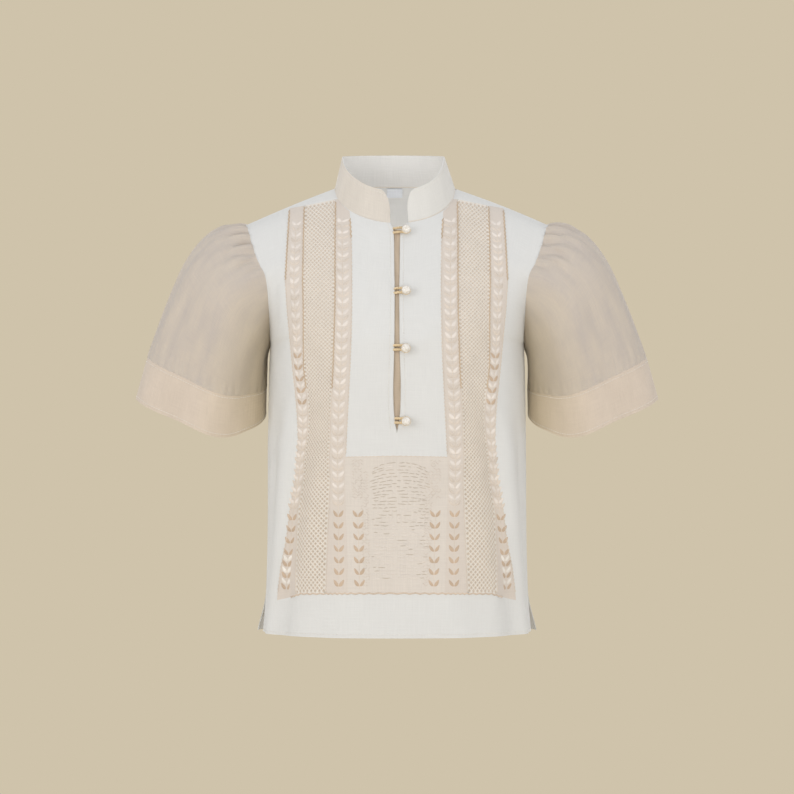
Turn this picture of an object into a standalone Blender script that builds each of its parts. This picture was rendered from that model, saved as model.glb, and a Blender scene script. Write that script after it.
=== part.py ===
"""Short-sleeved linen blouse, filled out as worn: stand collar, buttoned neck slit, gathered sleeves with cuffs.

Metres, +Z up. The front faces -Y and +X is the wearer's left. The origin lies between the shoulders,
level with the points where the shoulder seams meet the collar.
"""

from collections import namedtuple
from math import cos, pi, radians, sin

import bmesh
import bpy
import numpy as np
from mathutils import Vector

# Cloth walls and the room left at a seam
PANEL_WALL = 0.0013
SLEEVE_WALL = 0.0012
CUFF_WALL = 0.0020
COLLAR_WALL = 0.0018
SEAM_GAP = 0.0004
SHOULDER_GAP = 0.0007

# Neckline: an ellipse in plan that drops towards the front
NECK_HALF_WIDTH = 0.0712
NECK_FRONT_DEPTH = 0.0600
NECK_BACK_DEPTH = 0.0550
NECK_FRONT_DROP = 0.0440
NECK_BACK_RISE = 0.0050
SHOULDER_SEAM_Y = 0.0030
SHOULDER_TIP = (0.1805, -0.0440)
SHOULDER_RISE = 0.0013

# The neck sits a little to the wearer's right: how far, and between which heights this comes in
NECK_SHIFT = -0.0030
NECK_SHIFT_FROM_Z = -0.0420
NECK_SHIFT_FULL_Z = 0.0
NECK_SHIFT_REACH = 0.1700

# Body panels: columns from the centre line to the outer edge, the first ones end at the neckline
PANEL_COLUMNS = 18
NECK_COLUMNS = 7
TOP_BLEND_POWER = 1.7
SHOULDER_ROUNDING = 1.8
TOP_BLUR = 0.5
TOP_BLUR_STEPS = (-1.0, -0.75, -0.5, -0.25, 0.0, 0.25, 0.5, 0.75, 1.0)
TOP_BLUR_WEIGHTS = (0.04, 0.08, 0.12, 0.16, 0.20, 0.16, 0.12, 0.08, 0.04)

# One row for each section of half a panel. t runs from the hem, 0, to the top edge, 1. centre_y and centre_z
# place it on the centre line, edge_x, edge_y and edge_z on the side seam or the armhole. wrap_deg says how far
# the section turns round the side, fullness how square it is (2 is an ellipse), rows how many mesh rows follow.
Level = namedtuple("Level", "t centre_y centre_z edge_x edge_y edge_z wrap_deg fullness rows")
FRONT_LEVELS = (
    Level(0.000, -0.1110, -0.5320, 0.1600, -0.0100, -0.5300, 88, 2.35, 2),
    Level(0.107, -0.1120, -0.4800, 0.1564, -0.0003, -0.4800, 90, 2.40, 2),
    Level(0.270, -0.1140, -0.4000, 0.1545, -0.0003, -0.4000, 90, 2.45, 3),
    Level(0.475, -0.1165, -0.3000, 0.1540, -0.0003, -0.3000, 90, 2.50, 2),
    Level(0.629, -0.1180, -0.2250, 0.1530, -0.0003, -0.2350, 90, 2.50, 2),
    Level(0.711, -0.1165, -0.1850, 0.1515, -0.0003, -0.1900, 90, 2.50, 1),
    Level(0.736, -0.1145, -0.1730, 0.1508, -0.0200, -0.1840, 88, 2.45, 1),
    Level(0.762, -0.1120, -0.1600, 0.1505, -0.0370, -0.1700, 84, 2.40, 1),
    Level(0.824, -0.1030, -0.1300, 0.1515, -0.0560, -0.1350, 76, 2.30, 1),
    Level(0.875, -0.0930, -0.1050, 0.1545, -0.0590, -0.1086, 70, 2.20, 1),
    Level(0.922, -0.0820, -0.0820, 0.1640, -0.0490, -0.0890, 65, 2.10, 1),
    Level(0.955, -0.0735, -0.0660, 0.1720, -0.0340, -0.0670, 62, 2.05, 1),
    Level(0.980, -0.0668, -0.0540, 0.1770, -0.0165, -0.0505, 60, 2.00, 1),
    Level(1.000, -0.0600, -0.0440, 0.1805, 0.0027, -0.0440, 60, 2.00, 0),
)
BACK_LEVELS = (
    Level(0.000, 0.1040, -0.5320, 0.1672, 0.0040, -0.5300, 88, 2.35, 2),
    Level(0.097, 0.1030, -0.4800, 0.1564, 0.0003, -0.4800, 90, 2.40, 2),
    Level(0.246, 0.1010, -0.4000, 0.1545, 0.0003, -0.4000, 90, 2.45, 2),
    Level(0.432, 0.1000, -0.3000, 0.1540, 0.0003, -0.3000, 90, 2.50, 2),
    Level(0.553, 0.1015, -0.2350, 0.1530, 0.0003, -0.2350, 90, 2.50, 1),
    Level(0.641, 0.1035, -0.1880, 0.1515, 0.0003, -0.1900, 90, 2.50, 1),
    Level(0.674, 0.1045, -0.1700, 0.1508, 0.0210, -0.1840, 88, 2.45, 1),
    Level(0.711, 0.1045, -0.1500, 0.1505, 0.0370, -0.1680, 84, 2.40, 1),
    Level(0.771, 0.1030, -0.1180, 0.1530, 0.0510, -0.1340, 76, 2.30, 1),
    Level(0.832, 0.0975, -0.0850, 0.1590, 0.0540, -0.1050, 70, 2.20, 1),
    Level(0.888, 0.0890, -0.0550, 0.1680, 0.0460, -0.0820, 65, 2.10, 1),
    Level(0.939, 0.0770, -0.0280, 0.1745, 0.0335, -0.0610, 62, 2.05, 1),
    Level(0.972, 0.0665, -0.0100, 0.1785, 0.0190, -0.0490, 60, 2.00, 1),
    Level(1.000, 0.0550, 0.0050, 0.1805, 0.0033, -0.0440, 60, 2.00, 0),
)
UNDERARM_LEVEL = 5

# Long soft folds of a panel, from (girth, z) to (girth, z), girth being measured round from the centre line.
# depth is how far the cloth stands out, or in where it is negative. side is +1, -1 or 0 for both.
Fold = namedtuple("Fold", "side start_girth start_z end_girth end_z width depth")
GIRTH_QUARTER = 0.215
FRONT_FOLDS = (
    Fold(0, 0.072, -0.200, 0.146, -0.560, 0.015, -0.0065),
    Fold(0, 0.106, -0.170, 0.172, -0.560, 0.016, 0.0050),
    Fold(0, 0.146, -0.200, 0.198, -0.560, 0.014, -0.0045),
    Fold(-1, 0.040, -0.330, 0.052, -0.560, 0.018, 0.0028),
    Fold(1, 0.046, -0.360, 0.056, -0.560, 0.018, 0.0028),
    Fold(0, 0.140, -0.120, 0.090, -0.200, 0.014, -0.0030),
)
BACK_FOLDS = (
    Fold(0, 0.056, -0.150, 0.066, -0.560, 0.017, 0.0060),
    Fold(0, 0.092, -0.170, 0.106, -0.560, 0.016, -0.0055),
    Fold(0, 0.132, -0.190, 0.150, -0.560, 0.016, 0.0050),
    Fold(-1, 0.014, -0.240, 0.022, -0.560, 0.016, -0.0040),
    Fold(1, 0.022, -0.280, 0.016, -0.560, 0.015, -0.0035),
    Fold(0, 0.140, -0.110, 0.090, -0.190, 0.014, -0.0035),
)
FOLD_END_FADE = 0.05

# Neck slit: half its width at each height
Slit = namedtuple("Slit", "z half_width")
SLIT = (
    Slit(-0.2910, 0.0000),
    Slit(-0.2800, 0.0022),
    Slit(-0.2650, 0.0039),
    Slit(-0.2400, 0.0045),
    Slit(-0.1950, 0.0034),
    Slit(-0.1600, 0.0030),
    Slit(-0.1280, 0.0028),
    Slit(-0.1000, 0.0033),
    Slit(-0.0680, 0.0036),
    Slit(-0.0540, 0.0042),
    Slit(-0.0440, 0.0080),
)
SLIT_ROWS = (-0.2910, -0.2830, -0.2720, -0.2550)
SLIT_ROW_CLEARANCE = 0.012
LEFT_CORNER_EXTRA = 0.0055
CORNER_START_Z = -0.0600

# Sleeve: one row for each ring, from the armhole, t 0, to the cuff's bottom edge, t 1. The ring's outer and
# inner points lie in the plane of the front view. depth_front and depth_back are its half depths. drop is how
# far its front and back hang below its sides, lift how far its underarm side is drawn up.
Ring = namedtuple("Ring", "t outer_x outer_z inner_x inner_z depth_front depth_back drop lift")
RINGS = (
    Ring(0.00, 0.1810, -0.0440, 0.1527, -0.1895, 0.0590, 0.0540, 0.0000, 0.000),
    Ring(0.08, 0.2030, -0.0452, 0.1545, -0.1960, 0.0660, 0.0600, 0.0000, 0.000),
    Ring(0.16, 0.2195, -0.0515, 0.1558, -0.2010, 0.0710, 0.0650, 0.0010, 0.000),
    Ring(0.26, 0.2375, -0.0668, 0.1565, -0.2070, 0.0740, 0.0680, 0.0030, 0.001),
    Ring(0.38, 0.2535, -0.0900, 0.1565, -0.2140, 0.0745, 0.0690, 0.0060, 0.002),
    Ring(0.52, 0.2690, -0.1230, 0.1565, -0.2230, 0.0720, 0.0670, 0.0090, 0.004),
    Ring(0.66, 0.2850, -0.1630, 0.1565, -0.2340, 0.0660, 0.0620, 0.0115, 0.006),
    Ring(0.80, 0.2990, -0.2034, 0.1568, -0.2480, 0.0590, 0.0560, 0.0135, 0.010),
    Ring(1.00, 0.3130, -0.2528, 0.1575, -0.2900, 0.0540, 0.0510, 0.0185, 0.020),
)
CUFF_START = 0.80
DROP_SKEW = 0.4
SLEEVE_ROWS = (0.0, 0.03, 0.07, 0.12, 0.18, 0.26, 0.36, 0.47, 0.58, 0.69, 0.80)
CUFF_ROWS = (0.80, 0.90, 1.0)
ARMHOLE_TOP_OFFSET = 0.0008
ARMHOLE_UNDER_OFFSET = 0.0020
ARMHOLE_FADE = 0.22
UNDERARM_TURN = radians(196)

# Gathers at the sleeve cap
GATHERS = 9
GATHER_REACH = radians(68)
GATHER_HEIGHT = 0.0042
GATHER_LENGTH = 0.085
COLUMNS_PER_GATHER = 4
PLAIN_COLUMNS = 22

# Broad waves down the sleeve: azimuth from the shoulder, half width, height, and where each starts
Wave = namedtuple("Wave", "azimuth_deg half_width_deg height start")
SLEEVE_WAVES = (
    Wave(38, 15, 0.0030, 0.25),
    Wave(72, 14, -0.0035, 0.20),
    Wave(104, 14, 0.0045, 0.25),
    Wave(138, 15, -0.0045, 0.22),
    Wave(214, 15, -0.0035, 0.30),
    Wave(252, 15, 0.0045, 0.25),
    Wave(292, 14, -0.0035, 0.20),
    Wave(328, 15, 0.0030, 0.25),
)

# Stand collar
COLLAR_HEIGHT = 0.0380
COLLAR_LIFT = 0.0013
COLLAR_FRONT_COLUMNS = 12
COLLAR_BACK_COLUMNS = 18
COLLAR_ROWS = 4
COLLAR_TOP_WIDTH = 0.85
COLLAR_TOP_SHIFT = -0.0017
COLLAR_TOP_FRONT = 0.80
COLLAR_TOP_BACK = 0.90
COLLAR_END_HEIGHT = 0.012
COLLAR_CORNER = 0.014
COLLAR_END_RIGHT = 0.0078
COLLAR_END_LEFT = 0.0135

# Pearl buttons on the wearer's left of the slit, and the cloth loops that hold them
BUTTON_HEIGHTS = (-0.0540, -0.1260, -0.1925, -0.2775)
PEARL_RADIUS = 0.0052
SHANK_RADIUS = 0.0009
SHANK_LENGTH = 0.0034
BUTTON_X = 0.0105
LOOP_RADIUS = 0.0012
LOOP_TURN_RADIUS = 0.0025

# Underlap behind the slit, and the plain label inside the back neck
UNDERLAP_HALF_WIDTH = 0.0150
UNDERLAP_TOP = -0.0520
UNDERLAP_BOTTOM = -0.3000
UNDERLAP_WALL = 0.0010
LABEL_WIDTH = 0.0190
LABEL_HEIGHT = 0.0100
LABEL_WALL = 0.0010
LABEL_DROP = 0.0012
LABEL_GAP = 0.0008

MATERIALS = {
    "body_linen": ((0.77, 0.76, 0.73, 1.0), 0.85),
    "sleeve_cloth": ((0.69, 0.60, 0.49, 1.0), 0.80),
    "cuff_cloth": ((0.72, 0.60, 0.47, 1.0), 0.80),
    "collar_linen": ((0.78, 0.72, 0.64, 1.0), 0.85),
    "underlap_cloth": ((0.56, 0.44, 0.32, 1.0), 0.85),
    "loop_cord": ((0.76, 0.62, 0.42, 1.0), 0.70),
    "pearl": ((0.90, 0.86, 0.78, 1.0), 0.18),
    "label_tape": ((0.66, 0.67, 0.70, 1.0), 0.60),
}


def clear_scene():
    for obj in list(bpy.data.objects):
        bpy.data.objects.remove(obj)


def material(name):
    found = bpy.data.materials.get(name)
    if found:
        return found
    colour, roughness = MATERIALS[name]
    made = bpy.data.materials.new(name)
    made.use_nodes = True
    shader = made.node_tree.nodes["Principled BSDF"]
    shader.inputs["Base Color"].default_value = colour
    shader.inputs["Roughness"].default_value = roughness
    made.diffuse_color = colour
    return made


def curve_through(rows, key, column, at):
    """A smooth curve through one column of a table, read at the key value or values given."""
    x = np.array([getattr(row, key) for row in rows])
    y = np.array([getattr(row, column) for row in rows])
    secant = np.diff(y) / np.diff(x)
    before, after = secant[:-1], secant[1:]
    both = np.abs(before + after)
    steady = np.where(before * after > 0, 2 * before * after / np.where(both > 0, before + after, 1), 0)
    slope = np.concatenate([secant[:1], steady, secant[-1:]])
    at = np.clip(np.asarray(at, float), x[0], x[-1])
    i = np.clip(np.searchsorted(x, at, side="right") - 1, 0, len(x) - 2)
    step = x[i + 1] - x[i]
    u = (at - x[i]) / step
    rise = y[i + 1] - y[i]
    start, end = slope[i] * step, slope[i + 1] * step
    return y[i] + u * start + u**2 * (3 * rise - 2 * start - end) + u**3 * (start + end - 2 * rise)


def neckline(angle, is_front):
    """A point of the neck seam, from the centre line, 0, to the shoulder seam, a quarter turn."""
    depth = -NECK_FRONT_DEPTH if is_front else NECK_BACK_DEPTH
    rise = -NECK_FRONT_DROP if is_front else NECK_BACK_RISE
    inward = np.cos(angle)
    seam_y = (SHOULDER_SEAM_Y + (-SHOULDER_GAP if is_front else SHOULDER_GAP)) * (1 - inward)
    return np.stack([NECK_HALF_WIDTH * np.sin(angle), depth * inward + seam_y, rise * inward], -1)


def top_edge(s, is_front):
    """The neckline and then the shoulder seam, as s runs from the centre line to the shoulder tip."""
    neck_share = NECK_COLUMNS / PANEL_COLUMNS
    neck = neckline(np.clip(s / neck_share, 0, 1) * pi / 2, is_front)
    along = np.clip((s - neck_share) / (1 - neck_share), 0, 1)
    tip_x, tip_z = SHOULDER_TIP
    seam_side = -SHOULDER_GAP if is_front else SHOULDER_GAP
    shoulder = np.stack(
        [
            NECK_HALF_WIDTH + along * (tip_x - NECK_HALF_WIDTH),
            np.full_like(along, SHOULDER_SEAM_Y + seam_side),
            along * tip_z + SHOULDER_RISE * np.sin(pi * along),
        ],
        -1,
    )
    return np.where((s <= neck_share)[..., None], neck, shoulder)


def section(levels, s, t):
    """A point of half a panel before its top edge is shaped."""
    read = {name: curve_through(levels, "t", name, t) for name in Level._fields[1:8]}
    turn = np.radians(read["wrap_deg"])
    across = (np.sin(s * turn) / np.sin(turn)) ** (2 / read["fullness"])
    share = np.clip((np.cos(s * turn) - np.cos(turn)) / (1 - np.cos(turn)), 0, 1)
    inward = share ** (2 / read["fullness"])
    return np.stack(
        [
            read["edge_x"] * across,
            read["edge_y"] + (read["centre_y"] - read["edge_y"]) * inward,
            read["edge_z"] + (read["centre_z"] - read["edge_z"]) * inward,
        ],
        -1,
    )


def panel_point(s, t, is_front):
    """A point of half a body panel on the +X side: s from centre line to edge, t from hem to top."""
    s, t = np.broadcast_arrays(np.asarray(s, float), np.asarray(t, float))
    levels = FRONT_LEVELS if is_front else BACK_LEVELS
    start = levels[UNDERARM_LEVEL].t
    weight = np.clip((t - start) / (1 - start), 0, 1) ** TOP_BLEND_POWER
    blur = TOP_BLUR * np.clip((1 - t) / (1 - start), 0, 1)
    shift = 0
    for share, offset in zip(TOP_BLUR_WEIGHTS, TOP_BLUR_STEPS):
        shift = shift + share * top_shift(levels, s + offset * blur, is_front)
    rise = 1 - (1 - weight) ** SHOULDER_ROUNDING
    weights = np.stack([weight, weight, rise], -1)
    return section(levels, s, t) + weights * shift


def top_shift(levels, s, is_front):
    """How far the top edge lies from the plain section there, carried on past the centre line and the tip."""
    folded = np.abs(s)
    beyond = folded > 1
    inside = np.where(beyond, 2 - folded, folded)
    shift = top_edge(inside, is_front) - section(levels, inside, np.ones_like(inside))
    shift = np.where(beyond[..., None], -shift, shift)
    return shift * np.stack([np.where(s < 0, -1.0, 1.0), np.ones_like(s), np.ones_like(s)], -1)


def shifted(points):
    """Points of the body moved with the neck."""
    points = np.array(points, float)
    rise = np.clip((points[..., 2] - NECK_SHIFT_FROM_Z) / (NECK_SHIFT_FULL_Z - NECK_SHIFT_FROM_Z), 0, 1)
    near = np.clip(1 - (points[..., 0] / NECK_SHIFT_REACH) ** 2, 0, 1)
    points[..., 0] += NECK_SHIFT * rise**2 * (3 - 2 * rise) * near
    return points


def slit_half_width(z, side):
    half = curve_through(SLIT, "z", "half_width", z)
    corner = np.clip((z - CORNER_START_Z) / (SLIT[-1].z - CORNER_START_Z), 0, 1)
    return half + (LEFT_CORNER_EXTRA * corner**3 if side > 0 else 0.0)


def normals_of(grid):
    """Unit normals of a grid of points, which point out where columns run along +X and rows go up at the front."""
    along = np.gradient(grid, axis=1)
    up = np.gradient(grid, axis=0)
    normal = np.cross(along, up)
    return normal / np.linalg.norm(normal, axis=-1, keepdims=True)


def fold_heights(folds, girth, z, side):
    """How far the folds of a panel move the cloth out at each point."""
    total = np.zeros_like(girth)
    for fold in folds:
        if fold.side not in (0, side):
            continue
        run = np.array([fold.end_girth - fold.start_girth, fold.end_z - fold.start_z])
        length = np.linalg.norm(run)
        unit = run / length
        offset = np.stack([girth - fold.start_girth, z - fold.start_z], -1)
        along = offset @ unit
        away = offset @ np.array([-unit[1], unit[0]])
        fade = np.clip(along / (3 * FOLD_END_FADE), 0, 1) ** 2 * np.clip((length - along) / FOLD_END_FADE + 1, 0, 1)
        total += fold.depth * np.exp(-((away / fold.width) ** 2)) * fade
    return total


def from_slit(s, t, side):
    """The columns of the front moved along the cloth so that the first one runs down the edge of the slit."""
    fine = np.linspace(0, 0.2, 201)
    starts = []
    for row in t[:, 0]:
        line = panel_point(fine, row, True)
        half = float(slit_half_width(line[0, 2], side)) if line[0, 2] > SLIT[0].z else 0.0
        starts.append(np.interp(half, line[:, 0], fine))
    start = np.array(starts)[:, None]
    neck_share = NECK_COLUMNS / PANEL_COLUMNS
    return np.where(s < neck_share, start + (neck_share - start) * s / neck_share, s)


def half_panel(columns, ts, is_front, side):
    """The grid of points of half a panel, rows by columns, with its folds."""
    t = np.asarray(ts)[:, None]
    s = np.broadcast_to(np.linspace(0, 1, columns + 1), (len(ts), columns + 1))
    if is_front:
        s = from_slit(s, t, side)
    grid = panel_point(s, t, is_front)
    outward = normals_of(grid) * (1 if is_front else -1)
    folds = FRONT_FOLDS if is_front else BACK_FOLDS
    girth = s * GIRTH_QUARTER + 0 * t
    seam_free = np.clip((1 - s) * 8, 0, 1) * np.clip((1 - t) * 8, 0, 1)
    grid = grid + (fold_heights(folds, girth, grid[..., 2], side) * seam_free)[..., None] * outward
    grid[..., 0] *= side
    return shifted(grid)


def mesh_rows(levels):
    """The t values of a panel's mesh rows: each level, and what its rows column adds after it."""
    ts = []
    for low, high in zip(levels, levels[1:]):
        ts += [low.t + (high.t - low.t) * i / low.rows for i in range(low.rows)]
    return ts + [levels[-1].t]


def add_slit_rows(ts):
    """The front's rows, with some set at the narrow end of the slit."""
    fine = np.linspace(ts[0], ts[-1], 8001)
    centre_z = curve_through(FRONT_LEVELS, "t", "centre_z", fine)
    added = [float(fine[np.argmin(np.abs(centre_z - z))]) for z in SLIT_ROWS]
    kept = [t for t in ts if min(abs(t - near) for near in added) > SLIT_ROW_CLEARANCE]
    return sorted(kept + added)


def shell(name, points, faces, wall, offset, look):
    """An open surface made a wall with Solidify."""
    mesh = bpy.data.meshes.new(name)
    mesh.from_pydata([tuple(p) for p in points], [], faces)
    mesh.validate()
    obj = bpy.data.objects.new(name, mesh)
    PARTS.objects.link(obj)
    solid = obj.modifiers.new("Wall", "SOLIDIFY")
    solid.thickness = wall
    solid.offset = offset
    solid.use_even_offset = False
    solid.use_rim = True
    mesh.materials.append(material(look))
    mesh.shade_smooth()
    return obj


def grid_faces(index, flip=False):
    """Quads over a grid of vertex numbers."""
    faces = []
    for low, high in zip(index, index[1:]):
        for a, b, c, d in zip(low, low[1:], high[1:], high):
            faces.append((d, c, b, a) if flip else (a, b, c, d))
    return faces


def front_panel():
    """The front in one piece, parted along the centre line above the bottom of the slit."""
    ts = add_slit_rows(mesh_rows(FRONT_LEVELS))
    right = half_panel(PANEL_COLUMNS, ts, True, -1)
    left = half_panel(PANEL_COLUMNS, ts, True, 1)
    rows, columns = len(ts), PANEL_COLUMNS + 1
    points = list(right.reshape(-1, 3)) + list(left.reshape(-1, 3))
    right_index = np.arange(rows * columns).reshape(rows, columns)
    left_index = right_index + rows * columns
    joined = right[:, 0, 2] <= SLIT[0].z + 0.0005
    for row in np.nonzero(joined)[0]:
        points[right_index[row, 0]] = np.array([0.0, *((right[row, 0] + left[row, 0]) / 2)[1:]])
        left_index[row, 0] = right_index[row, 0]
    faces = grid_faces(right_index.tolist(), flip=True) + grid_faces(left_index.tolist())
    used = sorted({i for face in faces for i in face})
    renumber = {old: new for new, old in enumerate(used)}
    faces = [tuple(renumber[i] for i in face) for face in faces]
    return shell("front", [points[i] for i in used], faces, PANEL_WALL, 0, "body_linen")


def back_panel():
    ts = mesh_rows(BACK_LEVELS)
    left = half_panel(PANEL_COLUMNS, ts, False, 1)
    right = half_panel(PANEL_COLUMNS, ts, False, -1)
    centre = (left[:, :1] + right[:, :1]) / 2
    grid = np.concatenate([right[:, :0:-1], centre, left[:, 1:]], axis=1)
    index = np.arange(grid.shape[0] * grid.shape[1]).reshape(grid.shape[:2])
    faces = grid_faces(index.tolist(), flip=True)
    return shell("back", grid.reshape(-1, 3), faces, PANEL_WALL, 0, "body_linen")


def armhole(share, is_front):
    """A point of the armhole on the +X side: share runs from the shoulder tip, 0, to the underarm, 1."""
    levels = FRONT_LEVELS if is_front else BACK_LEVELS
    t = np.linspace(1, levels[UNDERARM_LEVEL].t, 200)
    path = panel_point(np.ones_like(t), t, is_front)
    length = np.concatenate([[0], np.cumsum(np.linalg.norm(np.diff(path, axis=0), axis=1))])
    return np.stack([np.interp(share, length / length[-1], path[:, axis]) for axis in range(3)], -1)


def ring_point(azimuth, t):
    """A point of the sleeve's plain rings: azimuth 0 is the top, a quarter turn is the front."""
    read = {name: curve_through(RINGS, "t", name, t) for name in Ring._fields[1:]}
    along, across = np.cos(azimuth), np.sin(azimuth)
    depth = np.where(across > 0, read["depth_front"], read["depth_back"])
    under = np.clip(np.cos(azimuth - UNDERARM_TURN), 0, 1) ** 3
    x = (read["outer_x"] + read["inner_x"]) / 2 + (read["outer_x"] - read["inner_x"]) / 2 * along
    z = (read["outer_z"] + read["inner_z"]) / 2 + (read["outer_z"] - read["inner_z"]) / 2 * along
    hang = read["drop"] * across**2 * (1 - DROP_SKEW * along)
    return np.stack([x, -depth * across, z - hang + read["lift"] * under], -1)


def sleeve_relief(azimuth, t):
    """How far gathers and waves move the sleeve out from its plain rings."""
    near_top = (azimuth + pi) % (2 * pi) - pi
    in_reach = np.clip((GATHER_REACH - np.abs(near_top)) / radians(12), 0, 1)
    phase = near_top / GATHER_REACH * GATHERS * pi
    rise = (0.25 + t / (0.6 * GATHER_LENGTH)) * np.exp(-t / GATHER_LENGTH)
    total = GATHER_HEIGHT * np.cos(phase) * rise * in_reach
    for wave in SLEEVE_WAVES:
        away = (np.degrees(azimuth) - wave.azimuth_deg + 180) % 360 - 180
        grown = np.clip((t - wave.start) / (1 - wave.start), 0, 1) ** 0.7
        total = total + wave.height * grown * np.exp(-((away / wave.half_width_deg) ** 2))
    return total


def sleeve_point(azimuth, t):
    """A point of the left sleeve or cuff."""
    azimuth, t = np.broadcast_arrays(np.asarray(azimuth, float), np.asarray(t, float))
    share = np.where(azimuth <= pi, azimuth / pi, 2 - azimuth / pi)
    seam = np.where((azimuth <= pi)[..., None], armhole(share, True), armhole(share, False))
    under = (1 - np.cos(azimuth)) / 2
    seam = seam.copy()
    seam[..., 0] += ARMHOLE_TOP_OFFSET + (ARMHOLE_UNDER_OFFSET - ARMHOLE_TOP_OFFSET) * under
    fade = np.exp(-((t / ARMHOLE_FADE) ** 2))
    plain = ring_point(azimuth, t) + fade[..., None] * (seam - ring_point(azimuth, np.zeros_like(t)))
    centre = ring_point(np.zeros_like(t), t) / 2 + ring_point(np.full_like(t, pi), t) / 2
    outward = plain - centre
    outward /= np.linalg.norm(outward, axis=-1, keepdims=True)
    return plain + outward * sleeve_relief(azimuth, t)[..., None]


def sleeve_azimuths():
    """Columns round the sleeve, close together over the gathers."""
    cap = np.linspace(-GATHER_REACH, GATHER_REACH, GATHERS * COLUMNS_PER_GATHER + 1)
    rest = np.linspace(GATHER_REACH, 2 * pi - GATHER_REACH, PLAIN_COLUMNS + 1)[1:-1]
    return np.concatenate([cap, rest]) % (2 * pi)


def tube_wall(name, ts, side, wall, look):
    """A sleeve or a cuff. Where they meet, each stops short of the seam by half its gap."""
    azimuths = sleeve_azimuths()
    grid = sleeve_point(azimuths[None, :], np.asarray(ts)[:, None])
    ends = (0, 1) if ts[0] == CUFF_START else (-1, -2)
    run = grid[ends[1]] - grid[ends[0]]
    grid[ends[0]] += run / np.linalg.norm(run, axis=-1, keepdims=True) * SEAM_GAP / 2
    grid[..., 0] *= side
    index = np.arange(grid.shape[0] * grid.shape[1]).reshape(grid.shape[:2])
    closed = np.concatenate([index, index[:, :1]], axis=1)
    faces = grid_faces(closed.tolist(), flip=side < 0)
    return shell(name, grid.reshape(-1, 3), faces, wall, 0, look)


def neck_angle_of(x):
    """Where the neckline is this far from the centre line."""
    return float(np.arcsin(x / NECK_HALF_WIDTH))


def collar():
    """A band that stands on the neckline, its two front ends rounded off."""
    start, end = neck_angle_of(COLLAR_END_RIGHT), neck_angle_of(COLLAR_END_LEFT)
    right_front = np.linspace(start, pi / 2, COLLAR_FRONT_COLUMNS + 1)
    left_front = np.linspace(3 * pi / 2, 2 * pi - end, COLLAR_FRONT_COLUMNS + 1)
    back = np.linspace(pi / 2, 3 * pi / 2, COLLAR_BACK_COLUMNS + 1)[1:-1]
    close_up = np.array([0.25, 0.5]) * (right_front[1] - start)
    turns = [right_front[:1], start + close_up, right_front[1:], back]
    turns = np.concatenate(turns + [left_front[:-1], left_front[-1] - close_up[::-1], left_front[-1:]])
    points = []
    for row in range(COLLAR_ROWS + 1):
        for turn in turns:
            points.append(collar_point(turn, row / COLLAR_ROWS, start, end))
    index = np.arange(len(points)).reshape(COLLAR_ROWS + 1, len(turns))
    faces = grid_faces(index.tolist(), flip=True)
    return shell("collar", points, faces, COLLAR_WALL, 0, "collar_linen")


def collar_point(turn, up, start, end):
    """turn goes round the neck from the wearer's right front, by the back, to the left front."""
    is_right = turn <= pi
    angle = turn if is_right else 2 * pi - turn
    is_front = angle <= pi / 2
    base = neckline(angle if is_front else pi - angle, is_front)
    from_end = min(turn - start, 2 * pi - end - turn) * NECK_HALF_WIDTH
    corner = min(from_end / COLLAR_CORNER, 1.0)
    rounded = COLLAR_END_HEIGHT + (COLLAR_HEIGHT - COLLAR_END_HEIGHT) * (1 - (1 - corner) ** 2) ** 0.5
    height = up * rounded
    lean = height / COLLAR_HEIGHT
    top_depth = COLLAR_TOP_FRONT if is_front else COLLAR_TOP_BACK
    x = base[0] * (1 + (COLLAR_TOP_WIDTH - 1) * lean)
    y = base[1] * (1 + (top_depth - 1) * lean)
    point = shifted([-x if is_right else x, y, base[2] + COLLAR_LIFT])
    return point + [COLLAR_TOP_SHIFT * lean, 0, height]


def panel_at(x, z, is_front=True):
    """The point of the plain front or back seen at this x and z from the front, and its outward normal."""
    s, t = abs(x) / SHOULDER_TIP[0], 0.8
    step = 1e-4
    for _ in range(30):
        here = panel_point(s, t, is_front)
        miss = np.array([abs(x) - here[0], z - here[2]])
        by_s = (panel_point(s + step, t, is_front) - here)[[0, 2]] / step
        by_t = (here - panel_point(s, t - step, is_front))[[0, 2]] / step
        change = np.linalg.solve(np.stack([by_s, by_t], 1), miss)
        s, t = float(np.clip(s + change[0], 1e-4, 1 - step)), float(np.clip(t + change[1], step, 1))
    point = panel_point(s, t, is_front)
    across = panel_point(s + step, t, is_front) - point
    up = point - panel_point(s, t - step, is_front)
    normal = np.cross(across, up) * (1 if is_front else -1)
    normal /= np.linalg.norm(normal)
    mirror = np.array([1 if x >= 0 else -1, 1, 1])
    return point * mirror, normal * mirror


def underlap():
    """A strip of cloth behind the slit, made from the front's points moved in."""
    heights = np.linspace(UNDERLAP_BOTTOM, UNDERLAP_TOP, 10)
    widths = np.linspace(-UNDERLAP_HALF_WIDTH, UNDERLAP_HALF_WIDTH, 5)
    points = []
    for z in heights:
        for x in widths:
            point, normal = panel_at(x, z)
            points.append(point - normal * (PANEL_WALL / 2 + SEAM_GAP))
    index = np.arange(len(points)).reshape(len(heights), len(widths))
    return shell("underlap", points, grid_faces(index.tolist()), UNDERLAP_WALL, -1, "underlap_cloth")


def label():
    """A plain tape that hangs from the back neck seam inside."""
    points = []
    for row in range(3):
        for column in range(5):
            x = LABEL_WIDTH * (column / 4 - 0.5)
            z = NECK_BACK_RISE - LABEL_DROP - LABEL_HEIGHT * (1 - row / 2)
            point, normal = panel_at(x, z, False)
            points.append(shifted(point) - normal * (PANEL_WALL / 2 + LABEL_GAP))
    index = np.arange(15).reshape(3, 5)
    return shell("label", points, grid_faces(index.tolist()), LABEL_WALL, 1, "label_tape")


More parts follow.
